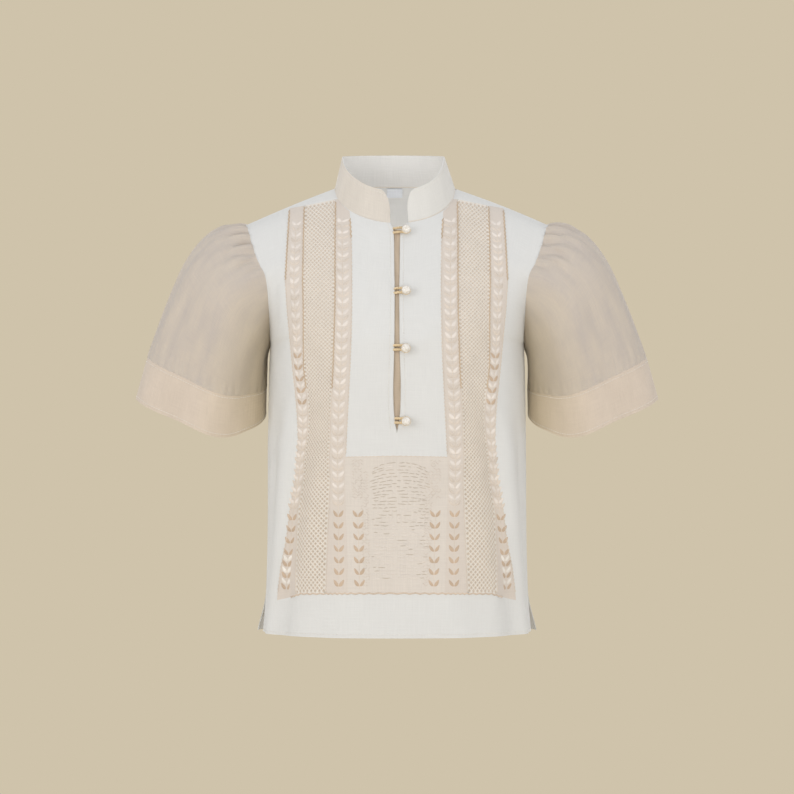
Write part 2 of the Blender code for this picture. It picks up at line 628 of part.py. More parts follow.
def button(number, z):
    """A pearl with its shank, turned about the line that stands out from the cloth."""
    surface, normal = panel_at(BUTTON_X, z)
    shank_start = SEAM_GAP
    centre = shank_start + SHANK_LENGTH + PEARL_RADIUS
    neck = np.arcsin(SHANK_RADIUS / PEARL_RADIUS)
    profile = [(PEARL_RADIUS * sin(a), centre + PEARL_RADIUS * cos(a)) for a in np.linspace(0, pi - neck, 9)]
    profile += [(SHANK_RADIUS, shank_start), (0.0, shank_start)]
    mesh = bpy.data.meshes.new(f"button_{number}")
    edges = [(i, i + 1) for i in range(len(profile) - 1)]
    mesh.from_pydata([(x, 0.0, height) for x, height in profile], edges, [])
    mesh.materials.append(material("pearl"))
    obj = bpy.data.objects.new(f"button_{number}", mesh)
    PARTS.objects.link(obj)
    turned = obj.modifiers.new("Turned", "SCREW")
    turned.steps = turned.render_steps = 14
    turned.use_merge_vertices = True
    turned.merge_threshold = 0.00005
    turned.use_smooth_shade = True
    obj.location = Vector(surface + normal * PANEL_WALL / 2)
    obj.rotation_euler = Vector(normal).to_track_quat("Z", "Y").to_euler()
    return obj


def loop(number, z):
    """A cloth loop: out of the slit's edge, round the pearl's shank, and back."""
    strand = LOOP_TURN_RADIUS
    narrow = z - strand - LOOP_RADIUS
    start_x = -float(slit_half_width(narrow, -1)) + SEAM_GAP
    edge_x = float(slit_half_width(narrow, 1)) - LOOP_RADIUS - SEAM_GAP
    low = LOOP_RADIUS - PANEL_WALL / 2
    over = PANEL_WALL / 2 + SEAM_GAP + LOOP_RADIUS
    run = [(start_x, low, strand), (start_x + 0.0008, low, strand), (edge_x, over, strand)]
    run += [(BUTTON_X - 0.004, over, strand)]
    turn = [(BUTTON_X + strand * cos(a), over, strand * sin(a)) for a in np.linspace(pi / 2, -pi / 2, 9)]
    path = run + turn + [(x, out, -up) for x, out, up in run[::-1]]
    curve = bpy.data.curves.new(f"loop_{number}", "CURVE")
    curve.dimensions = "3D"
    curve.bevel_depth = LOOP_RADIUS
    curve.bevel_resolution = 2
    curve.use_fill_caps = True
    spline = curve.splines.new("POLY")
    spline.points.add(len(path) - 1)
    for place, (x, out, up) in zip(spline.points, path):
        point, normal = panel_at(x, z + up)
        place.co = (*(point + normal * out), 1.0)
    curve.materials.append(material("loop_cord"))
    obj = bpy.data.objects.new(f"loop_{number}", curve)
    PARTS.objects.link(obj)
    return obj


clear_scene()
PARTS = bpy.data.collections.new("linen_blouse")
bpy.context.scene.collection.children.link(PARTS)

front_panel()
back_panel()
collar()
for side_name, side_sign in (("left", 1), ("right", -1)):
    tube_wall(f"sleeve_{side_name}", SLEEVE_ROWS, side_sign, SLEEVE_WALL, "sleeve_cloth")
    tube_wall(f"cuff_{side_name}", CUFF_ROWS, side_sign, CUFF_WALL, "cuff_cloth")
underlap()
label()
for button_number, button_z in enumerate(BUTTON_HEIGHTS, 1):
    button(button_number, button_z)
    loop(button_number, button_z)
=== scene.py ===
"""Short-sleeved linen blouse with lace bands, seen in a soft studio light.

Metres, +Z up, in the frame of the CAD model. The cloth is a thin shell on the CAD's surfaces, and the lace,
embroidery, stitching, cords and pearls lie on it.
"""

from collections import namedtuple
from math import cos, pi, radians, sin

import bmesh
import bpy
import numpy as np
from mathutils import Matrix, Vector


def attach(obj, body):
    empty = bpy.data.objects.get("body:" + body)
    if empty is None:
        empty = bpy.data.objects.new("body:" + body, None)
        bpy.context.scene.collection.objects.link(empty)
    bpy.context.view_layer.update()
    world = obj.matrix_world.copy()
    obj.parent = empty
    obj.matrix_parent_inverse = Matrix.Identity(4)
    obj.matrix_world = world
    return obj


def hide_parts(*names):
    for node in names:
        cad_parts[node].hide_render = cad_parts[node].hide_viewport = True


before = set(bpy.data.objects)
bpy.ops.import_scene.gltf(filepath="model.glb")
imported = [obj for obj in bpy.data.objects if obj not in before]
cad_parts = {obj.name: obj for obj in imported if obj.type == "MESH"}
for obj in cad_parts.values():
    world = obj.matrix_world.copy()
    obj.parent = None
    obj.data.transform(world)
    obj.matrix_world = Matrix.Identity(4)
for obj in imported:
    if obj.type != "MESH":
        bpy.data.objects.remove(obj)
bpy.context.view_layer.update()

# Cloth walls and the room left at a seam
PANEL_WALL = 0.0013
SEAM_GAP = 0.0004
SHOULDER_GAP = 0.0001

# Neckline: an ellipse in plan that drops towards the front
NECK_HALF_WIDTH = 0.0712
NECK_FRONT_DEPTH = 0.0600
NECK_BACK_DEPTH = 0.0550
NECK_FRONT_DROP = 0.0440
NECK_BACK_RISE = 0.0050
SHOULDER_SEAM_Y = 0.0030
SHOULDER_TIP = (0.1805, -0.0440)
SHOULDER_RISE = 0.0013

# The neck sits a little to the wearer's right: how far, and between which heights this comes in
NECK_SHIFT = -0.0030
NECK_SHIFT_FROM_Z = -0.0420
NECK_SHIFT_FULL_Z = 0.0
NECK_SHIFT_REACH = 0.1700

# Body panels: columns from the centre line to the outer edge, the first ones end at the neckline
PANEL_COLUMNS = 18
NECK_COLUMNS = 7
TOP_BLEND_POWER = 1.7
SHOULDER_ROUNDING = 1.8
TOP_BLUR = 0.5
TOP_BLUR_STEPS = (-1.0, -0.75, -0.5, -0.25, 0.0, 0.25, 0.5, 0.75, 1.0)
TOP_BLUR_WEIGHTS = (0.04, 0.08, 0.12, 0.16, 0.20, 0.16, 0.12, 0.08, 0.04)

# One row for each section of half a panel. t runs from the hem, 0, to the top edge, 1. centre_y and centre_z
# place it on the centre line, edge_x, edge_y and edge_z on the side seam or the armhole. wrap_deg says how
# far the section turns round the side, fullness how square it is (2 is an ellipse).
Level = namedtuple("Level", "t centre_y centre_z edge_x edge_y edge_z wrap_deg fullness")
FRONT_LEVELS = (
    Level(0.000, -0.1110, -0.5320, 0.1600, -0.0100, -0.5300, 88, 2.35),
    Level(0.107, -0.1120, -0.4800, 0.1564, -0.0003, -0.4800, 90, 2.40),
    Level(0.270, -0.1140, -0.4000, 0.1545, -0.0003, -0.4000, 90, 2.45),
    Level(0.475, -0.1165, -0.3000, 0.1540, -0.0003, -0.3000, 90, 2.50),
    Level(0.629, -0.1180, -0.2250, 0.1530, -0.0003, -0.2350, 90, 2.50),
    Level(0.711, -0.1165, -0.1850, 0.1515, -0.0003, -0.1900, 90, 2.50),
    Level(0.736, -0.1145, -0.1730, 0.1508, -0.0200, -0.1840, 88, 2.45),
    Level(0.762, -0.1120, -0.1600, 0.1505, -0.0370, -0.1700, 84, 2.40),
    Level(0.824, -0.1030, -0.1300, 0.1515, -0.0560, -0.1350, 76, 2.30),
    Level(0.875, -0.0930, -0.1050, 0.1545, -0.0590, -0.1086, 70, 2.20),
    Level(0.922, -0.0820, -0.0820, 0.1640, -0.0490, -0.0890, 65, 2.10),
    Level(0.955, -0.0735, -0.0660, 0.1720, -0.0340, -0.0670, 62, 2.05),
    Level(0.980, -0.0668, -0.0540, 0.1770, -0.0165, -0.0505, 60, 2.00),
    Level(1.000, -0.0600, -0.0440, 0.1805, 0.0027, -0.0440, 60, 2.00),
)
BACK_LEVELS = (
    Level(0.000, 0.1040, -0.5320, 0.1672, 0.0040, -0.5300, 88, 2.35),
    Level(0.097, 0.1030, -0.4800, 0.1564, 0.0003, -0.4800, 90, 2.40),
    Level(0.246, 0.1010, -0.4000, 0.1545, 0.0003, -0.4000, 90, 2.45),
    Level(0.432, 0.1000, -0.3000, 0.1540, 0.0003, -0.3000, 90, 2.50),
    Level(0.553, 0.1015, -0.2350, 0.1530, 0.0003, -0.2350, 90, 2.50),
    Level(0.641, 0.1035, -0.1880, 0.1515, 0.0003, -0.1900, 90, 2.50),
    Level(0.674, 0.1045, -0.1700, 0.1508, 0.0210, -0.1840, 88, 2.45),
    Level(0.711, 0.1045, -0.1500, 0.1505, 0.0370, -0.1680, 84, 2.40),
    Level(0.771, 0.1030, -0.1180, 0.1530, 0.0510, -0.1340, 76, 2.30),
    Level(0.832, 0.0975, -0.0850, 0.1590, 0.0540, -0.1050, 70, 2.20),
    Level(0.888, 0.0890, -0.0550, 0.1680, 0.0460, -0.0820, 65, 2.10),
    Level(0.939, 0.0770, -0.0280, 0.1745, 0.0335, -0.0610, 62, 2.05),
    Level(0.972, 0.0665, -0.0100, 0.1785, 0.0190, -0.0490, 60, 2.00),
    Level(1.000, 0.0550, 0.0050, 0.1805, 0.0033, -0.0440, 60, 2.00),
)
UNDERARM_LEVEL = 5

# Long soft folds of a panel, from (girth, z) to (girth, z), girth being measured round from the centre line.
# depth is how far the cloth stands out, or in where it is negative. side is +1, -1 or 0 for both.
Fold = namedtuple("Fold", "side start_girth start_z end_girth end_z width depth")
GIRTH_QUARTER = 0.215
FRONT_FOLDS = (
    Fold(0, 0.072, -0.200, 0.146, -0.560, 0.015, -0.0065),
    Fold(0, 0.106, -0.170, 0.172, -0.560, 0.016, 0.0050),
    Fold(0, 0.146, -0.200, 0.198, -0.560, 0.014, -0.0045),
    Fold(-1, 0.040, -0.330, 0.052, -0.560, 0.018, 0.0028),
    Fold(1, 0.046, -0.360, 0.056, -0.560, 0.018, 0.0028),
    Fold(0, 0.140, -0.120, 0.090, -0.200, 0.014, -0.0030),
)
BACK_FOLDS = (
    Fold(0, 0.056, -0.150, 0.066, -0.560, 0.017, 0.0060),
    Fold(0, 0.092, -0.170, 0.106, -0.560, 0.016, -0.0055),
    Fold(0, 0.132, -0.190, 0.150, -0.560, 0.016, 0.0050),
    Fold(-1, 0.014, -0.240, 0.022, -0.560, 0.016, -0.0040),
    Fold(1, 0.022, -0.280, 0.016, -0.560, 0.015, -0.0035),
    Fold(0, 0.140, -0.110, 0.090, -0.190, 0.014, -0.0035),
)
FOLD_END_FADE = 0.05

# Neck slit: half its width at each height
Slit = namedtuple("Slit", "z half_width")
SLIT = (
    Slit(-0.2910, 0.0000),
    Slit(-0.2800, 0.0022),
    Slit(-0.2650, 0.0039),
    Slit(-0.2400, 0.0045),
    Slit(-0.1950, 0.0034),
    Slit(-0.1600, 0.0030),
    Slit(-0.1280, 0.0028),
    Slit(-0.1000, 0.0033),
    Slit(-0.0680, 0.0036),
    Slit(-0.0540, 0.0042),
    Slit(-0.0440, 0.0080),
)
LEFT_CORNER_EXTRA = 0.0055
CORNER_START_Z = -0.0600

# Sleeve: one row for each ring, from the armhole, t 0, to the cuff's bottom edge, t 1. The ring's outer and
# inner points lie in the plane of the front view. depth_front and depth_back are its half depths. drop is how
# far its front and back hang below its sides, lift how far its underarm side is drawn up.
Ring = namedtuple("Ring", "t outer_x outer_z inner_x inner_z depth_front depth_back drop lift")
RINGS = (
    Ring(0.00, 0.1810, -0.0440, 0.1527, -0.1895, 0.0590, 0.0540, 0.0000, 0.000),
    Ring(0.08, 0.2030, -0.0452, 0.1545, -0.1960, 0.0660, 0.0600, 0.0000, 0.000),
    Ring(0.16, 0.2195, -0.0515, 0.1558, -0.2010, 0.0710, 0.0650, 0.0010, 0.000),
    Ring(0.26, 0.2375, -0.0668, 0.1565, -0.2070, 0.0740, 0.0680, 0.0030, 0.001),
    Ring(0.38, 0.2535, -0.0900, 0.1565, -0.2140, 0.0745, 0.0690, 0.0060, 0.002),
    Ring(0.52, 0.2690, -0.1230, 0.1565, -0.2230, 0.0720, 0.0670, 0.0090, 0.004),
    Ring(0.66, 0.2850, -0.1630, 0.1565, -0.2340, 0.0660, 0.0620, 0.0115, 0.006),
    Ring(0.80, 0.2990, -0.2034, 0.1568, -0.2480, 0.0590, 0.0560, 0.0135, 0.010),
    Ring(1.00, 0.3130, -0.2528, 0.1575, -0.2900, 0.0540, 0.0510, 0.0185, 0.020),
)
CUFF_START = 0.80
DROP_SKEW = 0.4
ARMHOLE_TOP_OFFSET = 0.0004
ARMHOLE_UNDER_OFFSET = 0.0008
ARMHOLE_FADE = 0.22
UNDERARM_TURN = radians(196)

# Gathers at the sleeve cap
GATHERS = 9
GATHER_REACH = radians(68)
GATHER_HEIGHT = 0.0042
GATHER_LENGTH = 0.050

# Broad waves down the sleeve: azimuth from the shoulder, half width, height, and where each starts
Wave = namedtuple("Wave", "azimuth_deg half_width_deg height start")
SLEEVE_WAVES = (
    Wave(38, 15, 0.0030, 0.25),
    Wave(72, 14, -0.0035, 0.20),
    Wave(104, 14, 0.0045, 0.25),
    Wave(138, 15, -0.0045, 0.22),
    Wave(214, 15, -0.0035, 0.30),
    Wave(252, 15, 0.0045, 0.25),
    Wave(292, 14, -0.0035, 0.20),
    Wave(328, 15, 0.0030, 0.25),
)

# Stand collar
COLLAR_HEIGHT = 0.0380
COLLAR_LIFT = 0.0001
COLLAR_TOP_WIDTH = 0.85
COLLAR_TOP_SHIFT = -0.0017
COLLAR_TOP_FRONT = 0.80
COLLAR_TOP_BACK = 0.90
COLLAR_END_HEIGHT = 0.012
COLLAR_CORNER = 0.014
COLLAR_END_RIGHT = 0.0078
COLLAR_END_LEFT = 0.0135

# Pearl buttons on the wearer's left of the slit, and the cloth loops that hold them
BUTTON_HEIGHTS = (-0.0540, -0.1260, -0.1925, -0.2775)
PEARL_RADIUS = 0.0052
SHANK_LENGTH = 0.0034
BUTTON_X = 0.0105
LOOP_RADIUS = 0.0012
LOOP_TURN_RADIUS = 0.0025

# Underlap behind the slit, and the plain label inside the back neck
UNDERLAP_HALF_WIDTH = 0.0150
UNDERLAP_TOP = -0.0520
UNDERLAP_BOTTOM = -0.3000
LABEL_WIDTH = 0.0190
LABEL_HEIGHT = 0.0100
LABEL_DROP = 0.0012
LABEL_GAP = 0.0008


def unit(vectors):
    return vectors / np.maximum(np.linalg.norm(vectors, axis=-1, keepdims=True), 1e-12)


def distances(path):
    """How far along a path each of its points is."""
    return np.concatenate([[0], np.cumsum(np.linalg.norm(np.diff(path, axis=0), axis=1))])


def read_along(values, far, at):
    """Rows of values, which stand at the distances far, read at other distances."""
    return np.stack([np.interp(at, far, values[:, axis]) for axis in range(3)], -1)


def curve_through(rows, key, column, at):
    """A smooth curve through one column of a table, read at the key value or values given."""
    x = np.array([getattr(row, key) for row in rows])
    y = np.array([getattr(row, column) for row in rows])
    secant = np.diff(y) / np.diff(x)
    before, after = secant[:-1], secant[1:]
    both = np.abs(before + after)
    steady = np.where(before * after > 0, 2 * before * after / np.where(both > 0, before + after, 1), 0)
    slope = np.concatenate([secant[:1], steady, secant[-1:]])
    at = np.clip(np.asarray(at, float), x[0], x[-1])
    i = np.clip(np.searchsorted(x, at, side="right") - 1, 0, len(x) - 2)
    step = x[i + 1] - x[i]
    u = (at - x[i]) / step
    rise = y[i + 1] - y[i]
    start, end = slope[i] * step, slope[i + 1] * step
    return y[i] + u * start + u**2 * (3 * rise - 2 * start - end) + u**3 * (start + end - 2 * rise)


def neckline(angle, is_front):
    """A point of the neck seam, from the centre line, 0, to the shoulder seam, a quarter turn."""
    depth = -NECK_FRONT_DEPTH if is_front else NECK_BACK_DEPTH
    rise = -NECK_FRONT_DROP if is_front else NECK_BACK_RISE
    inward = np.cos(angle)
    seam_y = (SHOULDER_SEAM_Y + (-SHOULDER_GAP if is_front else SHOULDER_GAP)) * (1 - inward)
    return np.stack([NECK_HALF_WIDTH * np.sin(angle), depth * inward + seam_y, rise * inward], -1)


def top_edge(s, is_front):
    """The neckline and then the shoulder seam, as s runs from the centre line to the shoulder tip."""
    neck_share = NECK_COLUMNS / PANEL_COLUMNS
    neck = neckline(np.clip(s / neck_share, 0, 1) * pi / 2, is_front)
    along = np.clip((s - neck_share) / (1 - neck_share), 0, 1)
    tip_x, tip_z = SHOULDER_TIP
    seam_side = -SHOULDER_GAP if is_front else SHOULDER_GAP
    shoulder = np.stack(
        [
            NECK_HALF_WIDTH + along * (tip_x - NECK_HALF_WIDTH),
            np.full_like(along, SHOULDER_SEAM_Y + seam_side),
            along * tip_z + SHOULDER_RISE * np.sin(pi * along),
        ],
        -1,
    )
    return np.where((s <= neck_share)[..., None], neck, shoulder)


def section(levels, s, t):
    """A point of half a panel before its top edge is shaped."""
    read = {name: curve_through(levels, "t", name, t) for name in Level._fields[1:]}
    turn = np.radians(read["wrap_deg"])
    across = (np.sin(s * turn) / np.sin(turn)) ** (2 / read["fullness"])
    share = np.clip((np.cos(s * turn) - np.cos(turn)) / (1 - np.cos(turn)), 0, 1)
    inward = share ** (2 / read["fullness"])
    return np.stack(
        [
            read["edge_x"] * across,
            read["edge_y"] + (read["centre_y"] - read["edge_y"]) * inward,
            read["edge_z"] + (read["centre_z"] - read["edge_z"]) * inward,
        ],
        -1,
    )


def panel_point(s, t, is_front):
    """A point of half a body panel on the +X side: s from centre line to edge, t from hem to top."""
    s, t = np.broadcast_arrays(np.asarray(s, float), np.asarray(t, float))
    levels = FRONT_LEVELS if is_front else BACK_LEVELS
    start = levels[UNDERARM_LEVEL].t
    weight = np.clip((t - start) / (1 - start), 0, 1) ** TOP_BLEND_POWER
    blur = TOP_BLUR * np.clip((1 - t) / (1 - start), 0, 1)
    shift = 0
    for share, offset in zip(TOP_BLUR_WEIGHTS, TOP_BLUR_STEPS):
        shift = shift + share * top_shift(levels, s + offset * blur, is_front)
    rise = 1 - (1 - weight) ** SHOULDER_ROUNDING
    weights = np.stack([weight, weight, rise], -1)
    return section(levels, s, t) + weights * shift


def top_shift(levels, s, is_front):
    """How far the top edge lies from the plain section there, carried on past the centre line and the tip."""
    folded = np.abs(s)
    beyond = folded > 1
    inside = np.where(beyond, 2 - folded, folded)
    shift = top_edge(inside, is_front) - section(levels, inside, np.ones_like(inside))
    shift = np.where(beyond[..., None], -shift, shift)
    return shift * np.stack([np.where(s < 0, -1.0, 1.0), np.ones_like(s), np.ones_like(s)], -1)


def shifted(points):
    """Points of the body moved with the neck."""
    points = np.array(points, float)
    rise = np.clip((points[..., 2] - NECK_SHIFT_FROM_Z) / (NECK_SHIFT_FULL_Z - NECK_SHIFT_FROM_Z), 0, 1)
    near = np.clip(1 - (points[..., 0] / NECK_SHIFT_REACH) ** 2, 0, 1)
    points[..., 0] += NECK_SHIFT * rise**2 * (3 - 2 * rise) * near
    return points


def slit_half_width(z, side):
    """Half the width of the neck slit, which opens out at the collar."""
    half = curve_through(SLIT, "z", "half_width", z)
    corner = np.clip((z - CORNER_START_Z) / (SLIT[-1].z - CORNER_START_Z), 0, 1)
    return half + (LEFT_CORNER_EXTRA * corner**3 if side > 0 else 0.0)


def normals_of(grid):
    """Unit normals of a grid, which point out where columns run along +X and rows go up at the front."""
    along = np.gradient(grid, axis=1)
    up = np.gradient(grid, axis=0)
    return unit(np.cross(along, up))


def fold_heights(folds, girth, z, side):
    """How far the folds of a panel move the cloth out at each point."""
    total = np.zeros_like(girth)
    for fold in folds:
        if fold.side not in (0, side):
            continue
        run = np.array([fold.end_girth - fold.start_girth, fold.end_z - fold.start_z])
        length = np.linalg.norm(run)
        unit = run / length
        offset = np.stack([girth - fold.start_girth, z - fold.start_z], -1)
        along = offset @ unit
        away = offset @ np.array([-unit[1], unit[0]])
        start = np.clip(along / (3 * FOLD_END_FADE), 0, 1) ** 2
        fade = start * np.clip((length - along) / FOLD_END_FADE + 1, 0, 1)
        total += fold.depth * np.exp(-((away / fold.width) ** 2)) * fade
    return total


def armhole(share, is_front):
    """A point of the armhole on the +X side: share runs from the shoulder tip, 0, to the underarm, 1."""
    levels = FRONT_LEVELS if is_front else BACK_LEVELS
    t = np.linspace(1, levels[UNDERARM_LEVEL].t, 200)
    path = panel_point(np.ones_like(t), t, is_front)
    length = distances(path)
    return read_along(path, length / length[-1], share)


def ring_point(azimuth, t):
    """A point of the sleeve's plain rings: azimuth 0 is the top, a quarter turn is the front."""
    read = {name: curve_through(RINGS, "t", name, t) for name in Ring._fields[1:]}
    along, across = np.cos(azimuth), np.sin(azimuth)
    depth = np.where(across > 0, read["depth_front"], read["depth_back"])
    under = np.clip(np.cos(azimuth - UNDERARM_TURN), 0, 1) ** 3
    x = (read["outer_x"] + read["inner_x"]) / 2 + (read["outer_x"] - read["inner_x"]) / 2 * along
    z = (read["outer_z"] + read["inner_z"]) / 2 + (read["outer_z"] - read["inner_z"]) / 2 * along
    hang = read["drop"] * across**2 * (1 - DROP_SKEW * along)
    return np.stack([x, -depth * across, z - hang + read["lift"] * under], -1)


def sleeve_relief(azimuth, t):
    """How far gathers and waves move the sleeve out from its plain rings."""
    near_top = (azimuth + pi) % (2 * pi) - pi
    in_reach = np.clip((GATHER_REACH - np.abs(near_top)) / radians(12), 0, 1)
    phase = near_top / GATHER_REACH * GATHERS * pi
    rise = (0.25 + t / (0.6 * GATHER_LENGTH)) * np.exp(-t / GATHER_LENGTH)
    total = GATHER_HEIGHT * np.cos(phase) * rise * in_reach
    for wave in SLEEVE_WAVES:
        away = (np.degrees(azimuth) - wave.azimuth_deg + 180) % 360 - 180
        grown = np.clip((t - wave.start) / (1 - wave.start), 0, 1) ** 0.7
        total = total + wave.height * grown * np.exp(-((away / wave.half_width_deg) ** 2))
    return total


def sleeve_point(azimuth, t):
    """A point of the left sleeve or cuff."""
    azimuth, t = np.broadcast_arrays(np.asarray(azimuth, float), np.asarray(t, float))
    share = np.where(azimuth <= pi, azimuth / pi, 2 - azimuth / pi)
    seam = np.where((azimuth <= pi)[..., None], armhole(share, True), armhole(share, False))
    under = (1 - np.cos(azimuth)) / 2
    seam = seam.copy()
    seam[..., 0] += ARMHOLE_TOP_OFFSET + (ARMHOLE_UNDER_OFFSET - ARMHOLE_TOP_OFFSET) * under
    fade = np.exp(-((t / ARMHOLE_FADE) ** 2))
    plain = ring_point(azimuth, t) + fade[..., None] * (seam - ring_point(azimuth, np.zeros_like(t)))
    centre = ring_point(np.zeros_like(t), t) / 2 + ring_point(np.full_like(t, pi), t) / 2
    outward = unit(plain - centre)
    return plain + outward * sleeve_relief(azimuth, t)[..., None]


def neck_angle_of(x):
    """Where the neckline is this far from the centre line."""
    return float(np.arcsin(x / NECK_HALF_WIDTH))


def collar_point(turn, up, start, end):
    """turn goes round the neck from the wearer's right front, by the back, to the left front."""
    is_right = turn <= pi
    angle = turn if is_right else 2 * pi - turn
    is_front = angle <= pi / 2
    base = neckline(angle if is_front else pi - angle, is_front)
    from_end = min(turn - start, 2 * pi - end - turn) * NECK_HALF_WIDTH
    corner = min(from_end / COLLAR_CORNER, 1.0)
    rounded = COLLAR_END_HEIGHT + (COLLAR_HEIGHT - COLLAR_END_HEIGHT) * (1 - (1 - corner) ** 2) ** 0.5
    height = up * rounded
    lean = height / COLLAR_HEIGHT
    top_depth = COLLAR_TOP_FRONT if is_front else COLLAR_TOP_BACK
    x = base[0] * (1 + (COLLAR_TOP_WIDTH - 1) * lean)
    y = base[1] * (1 + (top_depth - 1) * lean)
    point = shifted([-x if is_right else x, y, base[2] + COLLAR_LIFT])
    return point + [COLLAR_TOP_SHIFT * lean, 0, height]


# The picture is taken square on from the front. Its plane passes through the origin.
CAMERA_DISTANCE = 4.0
CAMERA_HEIGHT = -0.2502
CAMERA_LENS = 151.1

# Walls of the cloth as it shows
LINEN_WALL = 0.0009
SLEEVE_CLOTH_WALL = 0.0006
CUFF_CLOTH_WALL = 0.0010
COLLAR_CLOTH_WALL = 0.0018
SIDE_SEAM_Y = 0.0001
SIDE_SEAM_REACH = 0.001

# Where the lace bands lie in the front view, on each side of a centre line a little to the wearer's right.
# Heights and distances are in the picture plane.
BAND_CENTRE_X = -0.0006
Bands = namedtuple("Bands", "height outer net_outer net_inner inner")
BANDS = (
    Bands(-0.490, 0.1430, 0.1206, 0.0852, 0.0582),
    Bands(-0.455, 0.1387, 0.1206, 0.0839, 0.0587),
    Bands(-0.420, 0.1319, 0.1195, 0.0826, 0.0594),
    Bands(-0.385, 0.1277, 0.1182, 0.0811, 0.0606),
    Bands(-0.350, 0.1213, 0.1120, 0.0798, 0.0616),
    Bands(-0.325, 0.1192, 0.1110, 0.0808, 0.0611),
    Bands(-0.300, 0.1177, 0.1074, 0.0798, 0.0601),
    Bands(-0.275, 0.1187, 0.1050, 0.0794, 0.0588),
    Bands(-0.250, 0.1206, 0.1070, 0.0779, 0.0576),
    Bands(-0.215, 0.1244, 0.1112, 0.0761, 0.0558),
    Bands(-0.180, 0.1276, 0.1115, 0.0751, 0.0544),
    Bands(-0.145, 0.1310, 0.1115, 0.0740, 0.0538),
    Bands(-0.110, 0.1333, 0.1124, 0.0738, 0.0536),
    Bands(-0.062, 0.1307, 0.1116, 0.0738, 0.0542),
    Bands(-0.020, 0.1280, 0.1104, 0.0731, 0.0565),
)

# Lines across the front, in the picture plane: (distance from the centre line, height)
Line = namedtuple("Line", "x z")
HEM_LINE = (
    Line(0.000, -0.4858),
    Line(0.115, -0.4864),
    Line(0.125, -0.4900),
    Line(0.143, -0.4940),
    Line(0.200, -0.4940),
)
PANEL_LINE = (Line(0.000, -0.3210), Line(0.060, -0.3222), Line(0.200, -0.3222))
YOKE_LINE = (
    Line(0.000, -0.0100),
    Line(0.073, -0.0132),
    Line(0.110, -0.0208),
    Line(0.128, -0.0240),
    Line(0.150, -0.0350),
    Line(0.1805, -0.0470),
)
LEVEL_LINES = tuple((Line(0.0, z), Line(0.2, z)) for z in (-0.270, -0.220, -0.170, -0.120, -0.075))
YOKE_TOP_T = 0.995

# Those lines in order, counted upwards from the hem, 0
R_HEM, R_PANEL = 1, 2
R_YOKE = R_PANEL + len(LEVEL_LINES) + 1
R_TOP = R_YOKE + 1

# Rows and columns of cloth between those lines
FRONT_ROW_COUNTS = (12, 38, 15, 14, 14, 14, 12, 12, 5)
FRONT_COLUMN_COUNTS = (16, 5, 9, 5, 24)
BACK_ROWS = 120
BACK_COLUMNS = 56

# Net: diamond cells with a hole in each, and round each hole a ring coloured darker tan as painted shade of
# the shirt's inside seen through it
NET_CELLS_ACROSS = 8
NET_CELL_HEIGHTS = (
    Line(-0.4858, 0.0064),
    Line(-0.400, 0.0061),
    Line(-0.320, 0.0048),
    Line(-0.130, 0.0049),
    Line(0.0, 0.0051),
)
THREAD_AT = (0.64, 0.78)
HOLE_AT = (0.20, 0.25)

# Leaves: a pair opens upwards at each step of a stem
LEAF_STEP = 0.0139
LEAF_FIRST = -0.4772
LEAF_WIDTH = 0.0056
LEAF_RISE = 0.0012
LeafLine = namedtuple("LeafLine", "high_u low_u first_shift top low_reach high_reach")
LEAF_LINES = (
    LeafLine(1.53, 1.38, 0.0, -0.035, 0.0066, 0.0082),
    LeafLine(3.50, 3.68, -0.004, -0.040, 0.0060, 0.0066),
)
LOW_LEAVES = -0.385
LOW_LEAF_RISE = 0.0088
HIGH_LEAF_RISE = 0.0074
# Heights between which the outer leaves are tan as painted shade, below which outer leaves get a white
# painted highlight, and how far above a leaf its painted highlight copy sits
DEEP_SHADE_LEAVES = (-0.262, -0.190)
WHITE_HIGHLIGHT_BELOW = -0.445
HIGHLIGHT_LEAF_SHIFT = 0.0064
PANEL_LEAVES = 7
PANEL_STEM_U = 0.72
STEM_LIFT = 0.0003

# Flat cloth, as the weave is laid on it
FRONT_FLAT_LENGTH = 0.49
BACK_FLAT_LENGTH = 0.53
SLEEVE_FLAT_RADIUS = 0.075
SLEEVE_FLAT_LENGTH = 0.26

# Sewing: stitches rise a little in their middle, and a cord narrows at its ends
HEM_STITCH_R = 0.08
SLIT_STITCH_U = 0.07
BACK_HEM_T = 0.009
CUFF_STITCH_TS = (0.815, 0.985)
COLLAR_STITCH_INSET = 0.0035
STITCH_LENGTH = 0.0024
STITCH_GAP = 0.0010
STITCH_LIFT = 0.0002
STITCH_AT = np.array([0.0, 0.12, 0.5, 0.88, 1.0])
STITCH_RISE = np.array([-0.0001, 0.6, 1.0, 0.6, -0.0001])
CORD_END_SHARE = 0.5

SIDES = ((-1, "right"), (1, "left"))

rng = np.random.default_rng(7)


def seen_from_front(points):
    """Where points show in the picture plane."""
    near = (CAMERA_DISTANCE + points[..., 1]) / CAMERA_DISTANCE
    return points[..., 0] / near, CAMERA_HEIGHT + (points[..., 2] - CAMERA_HEIGHT) / near


def read_line(line, x):
    return np.interp(x, [p.x for p in line], [p.z for p in line])


